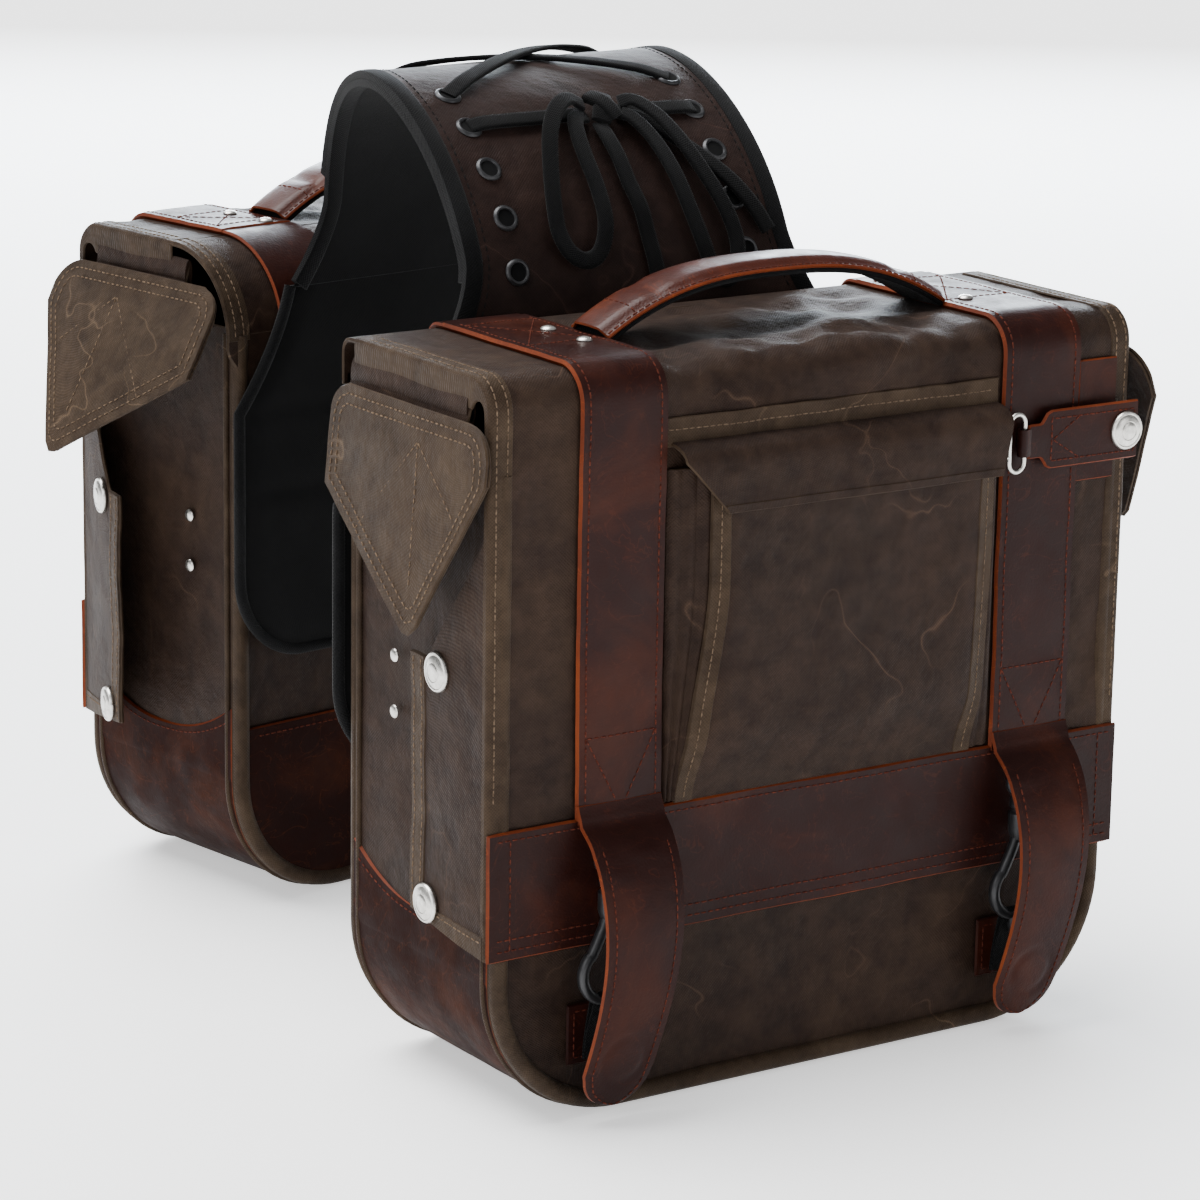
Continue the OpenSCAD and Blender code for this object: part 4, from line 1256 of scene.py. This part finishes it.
def make_tongues(nm, bag):
    """Strap tongues that bow out over the hooks, with a magnet's mark near the tip."""
    for label, side in SIDES:
        turn = np.sin(np.linspace(0, math.pi / 2, 12))[1:]
        zs = np.concatenate([np.linspace(140, TIP_Z, 58), TIP_Z - 16.9 * turn])
        rows = []
        for z in zs:
            mid, half, y = tongue_row(side, z)
            puffed = float(fade(z, 108, 120)) * float(fade(z, 136, 128))
            row = []
            for a in np.linspace(-1, 1, 22):
                x = mid + half * a
                curl = 0.9 * a * a * float(fade(z, 128, 100))
                far = math.hypot(x - strap_at(side) + 6, z - MAGNET_Z)
                mark = 0.7 * math.exp(-((far - MAGNET_R) / 1.6) ** 2)
                ripple = swell((x, 0, z * 1.4), 0.8, 15, side + bag) * puffed
                row.append((x, y + curl + mark - ripple, z))
            rows.append(row)
        sheet = Sheet(bag, np.array(rows), 2.3, flip=True)
        obj = sheet.build(f"{nm}_tongue_{label}", LEATHER)
        body = f"{nm}_{label}_tongue"
        x = strap_at(side)
        blend_piece(obj, bag, (nm + "_cover", body), (x, -64, 139), (x, -64, 127), "leather",
                    f"{nm}_tongue_{label}")
        stitches = Stitches(bag)
        stitches.on(sheet, [(0.1, 0.12), (0.1, 0.9), (0.2, 0.955), (0.4, 0.975), (0.6, 0.975),
                            (0.8, 0.955), (0.9, 0.9), (0.9, 0.12)],
                    samples=200, pitch=3.5, r=0.42)
        stitches.piece(f"{nm}_tongue_stitches_{label}", "dark_thread", body)


HOOK_Y, HOOK_IN = -68, 8


def ring_line(cx, y, cz, r, a0=0.0, a1=360.0, n=32):
    return [(cx + r * math.cos(math.radians(a)), y, cz + r * math.sin(math.radians(a)))
            for a in np.linspace(a0, a1, n)]


def make_hooks(nm, bag):
    """Black snap hooks on webbing loops, and the leather anchors they clip to."""
    y = HOOK_Y
    for label, side in SIDES:
        x = strap_at(side) - HOOK_IN
        wire = round_section(2.6, 10)
        body = [(x - 1, y, 92), (x - 3, y, 86)] + ring_line(x - 1, y, 66, 11.8, 128, 330, 22)
        gate = [(x + 1, y - 0.2, 91), (x + 4, y - 0.4, 86), (x + 9.5, y - 0.6, 76),
                (x + 11, y - 0.4, 68), (x + 9.2, y, 60)]
        runs = [dict(points=ring_line(x, y, 117, 5.9, 0, 360, 30), section=round_section(2.1, 10),
                     ups=[(0, -1, 0)] * 30),
                dict(points=smooth_line(body, 3), section=wire, first=(0, -1, 0)),
                dict(points=smooth_line(gate, 5), section=round_section(2.2, 10), first=(0, -1, 0)),
                dict(points=[(x - 1, y, 56), (x - 1, y, 50), (x, y, 45.5)],
                     section=round_section(3.4, 10), scale=[0.9, 1.0, 0.7], first=(0, -1, 0))]
        barrel = lathe([(0.5, 0), (3.6, 0), (4.6, 1.2), (4.6, 5), (3.6, 6), (3.8, 7), (5, 8), (5, 16),
                        (4.0, 19), (2.6, 22), (0.5, 22.4)], (x, y, 110), (0, 0, -1), (1, 0, 0))
        v, f, u = join_meshes([sweep_mesh(**r) for r in runs] + [barrel])
        obj = make_object(f"{nm}_hook_{label}", place(bag, v), f, u, ["black_metal"])
        finish_piece(obj, f"{nm}_{label}_hook", "black_metal", f"{nm}_hook_{label}")
        loop = [(-64.2, 131), (-65.4, 125), (-65.9, 121), (-68, 118.6), (-70.2, 121),
                (-66.8, 126), (-64.6, 131)]
        loop = [(x, a, b) for a, b in loop]
        sweeps(f"{nm}_hook_loop_{label}", bag,
               [dict(points=smooth_line(loop, 4), section=strap_section(12, 1.0),
                     ups=[(0, -1, 0.2)] * (6 * 4 + 1))], "tape", nm + "_cover")
    stitches = Stitches(bag)
    for label, side in SIDES:
        mid = strap_at(side)
        tab = Sheet(bag, [[(mid + a, -59.3 + 0.3 * math.sin(a), z) for a in np.linspace(-22, 4, 12)]
                          for z in np.linspace(24, 50, 12)], 2.0)
        tab.piece(f"{nm}_anchor_{label}", ("leather", "leather", "leather"), "bag_frame",
                  "anchor_tabs")
        stitches.on(tab, [(0.1, 0.1), (0.9, 0.1), (0.9, 0.9), (0.1, 0.9), (0.1, 0.1)], samples=80,
                    pitch=3.4, r=0.4)
        web = [(-60.2, 26), (-61.4, 36), (-64.5, 50), (-66.4, 56), (-68, 57.3), (-69.6, 56),
               (-66.5, 48), (-62.6, 36), (-61.2, 26)]
        web = [(mid - 9, y, z) for y, z in web]
        sweeps(f"{nm}_anchor_web_{label}", bag,
               [dict(points=smooth_line(web, 4), section=strap_section(13, 1.1),
                     ups=[(0, -1, 0)] * (8 * 4 + 1))], "tape", "bag_frame")
    stitches.piece(nm + "_anchor_stitches", "dark_thread", "bag_frame")


# ---- Pocket, flap, tab and ring ---------------------------------------------------------

POCKET = (-81, 95)
POCKET_TOP = 284
FLAP_PIVOT_Z = 291
TAB_Z = 273


def pocket_edge(side, z):
    """Where the pocket's front panel ends at each side: it spreads towards its foot."""
    low = 1 - float(fade(z, 140, 235))
    return -64 - 12 * low if side < 0 else 87 - 3 * low


def make_pocket(nm, bag):
    cover = nm + "_cover"
    zs = np.linspace(134, POCKET_TOP - 2, 44)
    rows = []
    for z in zs:
        a, b = pocket_edge(-1, z), pocket_edge(1, z)
        full = float(fade(z, 133, 165))
        row = []
        for c in np.linspace(-1, 1, 46):
            x = (a + b) / 2 + (b - a) / 2 * c
            edge = float(fade(1 - abs(c), 0, 0.16))
            y = -61.5 - 8.3 * full * (0.72 + 0.28 * edge) - 1.0 * full
            y -= swell((x, 0, z), 1.3, 48, 51.0 + bag) * edge * full
            row.append((x, y, z))
        rows.append(row)
    front = Sheet(bag, np.array(rows), 1.8)
    front.piece(nm + "_pocket_front", CANVAS, cover, nm + "_pocket")
    stitches = Stitches(bag)
    for a, b, at in ((0.0, 0.055, 0.028), (0.945, 1.0, 0.972)):
        hem = overlay(front, a, b, 0.0, 0.99, 0.5, 1.0, cols=6, rows=40)
        label = "left" if a == 0 else "right"
        hem.piece(f"{nm}_pocket_hem_{label}", HEM, cover)
        stitches.on(hem, [(0.5, 0.01), (0.5, 0.99)], samples=90, pitch=3.4, r=0.38)
    for label, side, pleats in (("left", -1, 3), ("right", 1, 2)):
        outer = POCKET[0] - 1 if side < 0 else POCKET[1]
        rows = []
        for z in np.linspace(135, POCKET_TOP - 4, 34):
            x1 = pocket_edge(side, z)
            depth = 7.5 * float(fade(z, 133, 165)) + 0.6
            row = []
            for c in np.linspace(0, 1, 18):
                x = x1 + (outer - x1) * c - side * 1.0 * (1 - c)
                y = -60.1 - depth * (1 - c) * 0.8 - abs(math.sin(math.pi * pleats * c)) * 1.5
                row.append((x, y, z))
            rows.append(row)
        wall = Sheet(bag, np.array(rows), 1.0, flip=side < 0)
        wall.piece(f"{nm}_pocket_side_{label}", CANVAS, cover)
    stitches.piece(nm + "_pocket_stitches", "brown_thread", cover)
    tacks = Stitches(bag)
    for s in (0.035, 0.965):
        zig = [(s + (0.008 if k % 2 else -0.008), 0.69 + 0.0095 * k) for k in range(15)]
        tacks.on(front, zig, samples=90, pitch=2.1, length=2.2, r=0.55)
    tacks.piece(nm + "_pocket_tacks", "dark_thread", cover)
    seam = Sheet(bag, [[(x, -60.9 + 0.25 * math.sin(x / 7), z + swell((x, 0, 0), 0.8, 30, 5.0))
                        for x in np.linspace(-93, 94, 60)] for z in np.linspace(290, 302, 6)], 1.2)
    seam.piece(nm + "_flap_seam", HEM, cover)
    row = Stitches(bag)
    row.on(seam, [(0.02, 0.6), (0.98, 0.6)], samples=90, pitch=3.4, r=0.36)
    row.piece(nm + "_flap_seam_stitches", "brown_thread", cover)


def make_flap(nm, bag):
    """Flap folded over the pocket's mouth, its ends cut on a slant."""
    prof = [(-60.4, FLAP_PIVOT_Z + 0.6), (-63, 291.0), (-67, 290.0), (-70.5, 288.0), (-72.6, 285.0),
            (-73.6, 281), (-74.0, 276), (-74.2, 270), (-74.3, 265), (-74.2, 261.5)]
    prof = smooth_line([(y, z, 0) for y, z in prof], 3)[:, :2]
    rows = []
    for y, z in prof:
        cut = float(np.clip((285 - z) / 23, 0, 1))
        a = POCKET[0] + 1 + 21 * cut
        b = POCKET[1] - 1 - 6 * cut
        rows.append([(a + (b - a) * c, y - swell((a + (b - a) * c, 0, z), 0.8, 36, 3.0 + bag)
                      * float(fade(z, 290, 280)), z) for c in np.linspace(0, 1, 60)])
    sheet = Sheet(bag, np.array(rows), 1.7, flip=True)
    obj = sheet.build(nm + "_pocket_flap", CANVAS)
    blend_piece(obj, bag, (nm + "_cover", nm + "_flap"), (7, -60.4, FLAP_PIVOT_Z),
                (7, -64, 288.5), "canvas", nm + "_pocket_flap")
    hem = overlay(sheet, 0.0, 1.0, 0.9, 1.0, 0.4, 0.9, cols=60, rows=5)
    hem.piece(nm + "_flap_hem", ("canvas", "hem", "hem"), nm + "_flap")


def make_tab(nm, bag):
    """Leather pull tab on a wire ring, with its snap over the keeper."""
    body = nm + "_tab"
    zc = TAB_Z
    rows = []
    xs = np.concatenate([np.linspace(107.2, 116, 7), np.linspace(117.5, 169, 24)])
    for x in xs:
        half = 7 + 5.5 * float(fade(x, 113.5, 119))
        rows.append([(x, -68.3 - 0.25 * math.cos(a * math.pi / 2)
                      + swell((x, 0, a), 0.3, 20, 2.0), zc + half * a)
                     for a in np.linspace(-1, 1, 14)])
    sheet = Sheet(bag, np.array(rows), 2.4, flip=True)
    sheet.piece(nm + "_side_tab", LEATHER, body, nm + "_side_tab")
    stitches = Stitches(bag)
    for route in ([(0.12, 0.26), (0.12, 0.97), (0.88, 0.97), (0.88, 0.26), (0.12, 0.26)],
                  [(0.12, 0.5), (0.5, 0.27), (0.88, 0.5)]):
        stitches.on(sheet, route, samples=120, pitch=3.3, r=0.4)
    stitches.piece(nm + "_tab_stitches", "dark_thread", body)
    loop = [(107.5, -67.9, zc), (104.5, -69.2, zc), (102.4, -68.9, zc), (102.2, -66.4, zc),
            (104, -64.9, zc), (107.5, -65.7, zc)]
    sweeps(nm + "_tab_loop", bag,
           [dict(points=smooth_line(loop, 4),
                 section=[(b, a) for a, b in strap_section(12.5, 1.3)], ups=[(0, 0, 1)] * 21)],
           "leather", body)
    turned(nm + "_tab_snap_cap", bag, [snap_cap((162, -68.5, zc), (0, -1, 0), (1, 0, 0))], "steel",
           body, nm + "_tab_snap")
    y = -66.7
    ring = ring_line(101, y, zc + 8.8, 4.2, 0, 180, 12) + ring_line(101, y, zc - 8.8, 4.2, 180, 360, 12)
    ring.append(ring[0])
    wires = [dict(points=ring, section=round_section(1.1, 10), ups=[(0, -1, 0)] * len(ring))]
    for s in (-1, 1):
        wires.append(dict(points=[(97.4, y, zc + 6 * s), (90, y - 2.6, zc + 5 * s),
                                  (82, y - 3.4, zc + 6.5 * s)],
                          section=round_section(0.7, 8), first=(0, -1, 0)))
    sweeps(nm + "_tab_ring_wire", bag, wires, "steel", nm + "_cover", nm + "_tab_ring")


# ---- Ends: wings, patches, snaps and rivets ------------------------------------------------


def snap_cap(centre, axis, side):
    """Domed cap with a rolled rim and two plain turned rings."""
    return lathe([(8.4, -0.4), (8.8, 0.3), (8.75, 1.1), (8.3, 1.7), (7.6, 1.85), (7.2, 1.65),
                  (6.8, 2.0), (5.6, 2.5), (4.4, 2.8), (4.1, 2.65), (3.8, 2.9), (2.2, 3.15),
                  (0.3, 3.2)], centre, axis, side, segments=40)


def wing_spread(bag, side):
    return math.radians(20) if bag == 1 and side > 0 else 0.0


def wing_point(bag, side, y, z, out=0.0):
    """Point on a wing: out is how far outside its outer face."""
    s = wing_spread(bag, side)
    dy = y + 57.2
    return (side * (170 + out * math.cos(s) + dy * math.sin(s)),
            -57.2 - out * math.sin(s) + dy * math.cos(s), z)


def make_wing(nm, bag, label, side):
    body = f"{nm}_{label}_wing"
    ys = np.linspace(-57.4, -0.4, 32)
    rows = []
    for t in np.linspace(0, 1, 52):
        row = []
        for y in ys:
            low = 78 + 8 * (y + 57.2) / 57
            high = 200 if y > -14 else 200 + 60 * (-14 - y) / 43.2
            z = low + (high - low) * t
            out = (0.9 * math.sin(math.pi * (y + 57) / 57)
                   + swell((y, z, side * 3), 0.9, 34, 6.0 + bag) * float(fade(y, -56, -46)))
            row.append(wing_point(bag, side, y, z, out))
        rows.append(row)
    sheet = Sheet(bag, np.array(rows), 2.0, flip=side < 0)
    sheet.piece(f"{nm}_wing_{label}", CANVAS, body, f"{nm}_wing_{label}")
    stitches = Stitches(bag)
    hem = overlay(sheet, 0.80, 1.0, 0.0, 1.0, 0.5, 1.0, cols=8, rows=50)
    hem.piece(f"{nm}_wing_hem_{label}", HEM, body)
    foot = overlay(sheet, 0.0, 0.81, 0.0, 0.055, 0.5, 1.0, cols=24, rows=5)
    foot.piece(f"{nm}_wing_foot_{label}", HEM, body)
    for s in (0.2, 0.78):
        stitches.on(hem, [(s, 0.01), (s, 0.99)], samples=120, pitch=3.4, r=0.4)
    stitches.on(foot, [(0.02, 0.75), (0.98, 0.75)], samples=60, pitch=3.4, r=0.4)
    stitches.piece(f"{nm}_wing_stitches_{label}", "brown_thread", body)
    s = wing_spread(bag, side)
    axis = (side * math.cos(s), -math.sin(s), 0)
    caps = [snap_cap(wing_point(bag, side, y, z, 1.4), axis, (0, 0, 1))
            for y, z in ((-23, 196), (-15, 92))]
    turned(f"{nm}_wing_caps_{label}", bag, caps, "steel", body, f"{nm}_wing_snaps_{label}")


def patch_flare(bag, side):
    return math.radians({(0, -1): 6, (0, 1): 20, (1, -1): 8, (1, 1): 28}[(bag, side)])


def patch_point(bag, side, y, z, out=3.0):
    """Point on a patch that hangs from the lid's end: out from its inner face."""
    f = patch_flare(bag, side)
    dz = z - 307
    return (side * (171.2 + out * math.cos(f) - dz * math.sin(f)), y,
            307 + out * math.sin(f) + dz * math.cos(f))


def patch_span(y, inset=0.0):
    """Lowest and highest z of the five-sided patch at y, in its own plane."""
    y0, y1 = -66 + inset, 59 - inset
    y = min(max(y, y0), y1)
    outline = [(-66, 284), (-22, 213), (-19, 211.6), (-16, 211.5), (59, 262)]
    low = float(np.interp(y, [p[0] for p in outline], [p[1] for p in outline])) + inset * 1.35
    high = 307 - inset
    if y > 46:
        high = 293 + math.sqrt(max((13 - inset) ** 2 - (y - 46) ** 2, 0))
    if y < -50:
        high = 291 + math.sqrt(max((16 - inset) ** 2 - (y + 50) ** 2, 0))
    return low, max(high, low + 0.5)


def make_patch(nm, bag, label, side):
    body = f"{nm}_{label}_patch"
    turn = np.sin(np.linspace(-math.pi / 2, math.pi / 2, 44))
    ys = -3.5 + 62.3 * turn

    def at(y, z, extra=0.0):
        bow = 0.8 * math.sin(math.pi * (y + 66) / 125) + swell((y, z, side), 0.8, 40, 9.0 + bag)
        return patch_point(bag, side, y, z, 3.0 + extra + bow)
    node = f"{nm}_patch_{label}"
    for name, out, thick, inset, mats, nodes in (
            (node, 0.0, 1.35, 0.0, ("hem", "canvas", "hem"), [node]),
            (node + "_lining", -1.6, 1.3, 0.7, CANVAS, [])):
        spans = [patch_span(y, inset) for y in ys]
        grid = np.array([[at(y, low + (high - low) * t, out) for y, (low, high) in zip(ys, spans)]
                         for t in np.linspace(0, 1, 34)])
        Sheet(bag, grid, thick, flip=side < 0).piece(name, mats, body, *nodes)
    stitches = Stitches(bag)
    f = patch_flare(bag, side)

    def row_of(points):
        pts = [at(y, z, 0.1) for y, z in points]
        stitches.along(pts, [(side * math.cos(f), 0, math.sin(f))] * len(pts), pitch=3.6,
                       length=2.6, r=0.42)
    for inset in (4.0, 8.5):
        spans = [(y, patch_span(y, inset)) for y in np.linspace(-66 + inset, 59 - inset, 60)]
        top = [(y, high) for y, (_, high) in spans]
        low = [(y, low) for y, (low, _) in spans]
        row_of(top + low[::-1] + top[:1])
    for y, z in ((-17, 232), (30, 247), (-45, 266)):
        row_of([(-14, 293), (y, z)])
    stitches.piece(f"{nm}_patch_stitches_{label}", "brown_thread", body)
    hinge = [[patch_point(bag, side, y, 307 + z, 1.2) if z < 0 else
              (side * (168.9 + 2.2 * (1 - z / 8)), y, 307 + z)
              for y in np.linspace(-44, end_roll_y(bag), 30)] for z in (-4, 0, 3, 6, 8)]
    strip = Sheet(bag, np.array(hinge), 1.2, flip=side < 0)
    obj = strip.build(f"{nm}_patch_hinge_{label}", CANVAS)
    blend_piece(obj, bag, (nm + "_cover", body), (side * 170, 0, 311), (side * 171, 0, 305),
                "canvas")


def make_rivets(nm, bag):
    dome = [(3.4, -0.3), (3.5, 0.25), (3.2, 0.8), (2.4, 1.3), (1.3, 1.6), (0.2, 1.7)]
    small = [(r * 0.86, h * 0.75) for r, h in dome]
    tops = [lathe(dome, (strap_at(s) - 9 * s, y, 329.4), (0, 0, 1), (1, 0, 0), 24)
            for s in (-1, 1) for y in (-17, 11)]
    turned(nm + "_strap_rivet_heads", bag, tops, "steel", nm + "_cover", nm + "_strap_rivets")
    ends = [lathe(small, (s * 165.4, 22, z), (s, 0, 0), (0, 0, 1), 24)
            for s in (-1, 1) for z in (167, 192)]
    turned(nm + "_end_rivet_heads", bag, ends, "steel", "bag_frame", "end_rivets")


# ---- Handle ---------------------------------------------------------------------------

HANDLE_X, HANDLE_Y, HANDLE_HALF, HANDLE_GAP = 6.5, -3, 90.2, 22


def handle_mid(x):
    return BAG_H + 4.2 + HANDLE_GAP * (1 - abs(x / HANDLE_HALF) ** 2.6)


def make_handle(nm, bag):
    """Padded leather handle, stitched down both sides, on black webbing."""
    cover = nm + "_cover"
    xs = HANDLE_HALF * np.cos(np.linspace(math.pi, 0, 60)) * 0.999
    base = np.array([(x + HANDLE_X, HANDLE_Y, handle_mid(x) - 0.6) for x in xs])
    seam = np.minimum(np.abs(xs + 62), np.abs(xs - 66))
    half_w = 14.4
    tangent = np.gradient(base, axis=0)
    tangent /= np.linalg.norm(tangent, axis=1, keepdims=True)
    across = np.array([0, 1, 0])
    grid, lower = [], []
    for i, p in enumerate(base):
        up = np.cross(tangent[i], across)
        up = up if up[2] > 0 else -up
        lower.append([p + across * half_w * c - up * 0.9 for c in (-0.97, -0.5, 0, 0.5, 0.97)])
        pinch = 1 - 0.4 * math.exp(-(seam[i] / 3.5) ** 2)
        row = []
        for a in np.linspace(0, math.pi, 19):
            c = -math.cos(a)
            flat = float(fade(abs(c), 0.97, 0.62))
            rise = 0.6 + 3.6 * flat * math.sin(a) ** 0.6 * pinch
            row.append(p + across * half_w * c + up * rise)
        grid.append(row)
    grid = np.array(grid)
    top = Sheet(bag, grid, 1.6, flip=np.cross(grid[30, 10] - grid[30, 9],
                                              grid[31, 9] - grid[30, 9])[2] < 0)
    obj = top.piece(nm + "_handle", ("handle", "handle", "edge"), cover, nm + "_handle")
    web = Sheet(bag, lower, 2.4, flip=not top.handed)
    web.piece(nm + "_handle_webbing", ("tape", "tape", "tape"), cover)
    stitches = Stitches(bag)
    for c in (0.13, 0.87):
        stitches.on(top, [(c, 0.02), (c, 0.98)], samples=140, pitch=3.5, r=0.4)
    for t in (0.185, 0.81):
        stitches.on(top, [(0.14, t), (0.86, t)], samples=40, pitch=3.5, r=0.4)
    stitches.piece(nm + "_handle_stitches", "dark_thread", cover)


# ---- Assembly ---------------------------------------------------------------------------

make_cords()
make_lacing()
make_yoke()
make_eyelets()
make_pads()
for nm, bag in BAGS.items():
    make_body(nm, bag)
    make_back_drop(nm, bag)
    make_lid(nm, bag)
    make_pocket(nm, bag)
    make_flap(nm, bag)
    make_handle(nm, bag)
    make_tab(nm, bag)
    make_tongues(nm, bag)
    make_hooks(nm, bag)
    make_rivets(nm, bag)
    for label, side in SIDES:
        make_wing(nm, bag, label, side)
        make_patch(nm, bag, label, side)
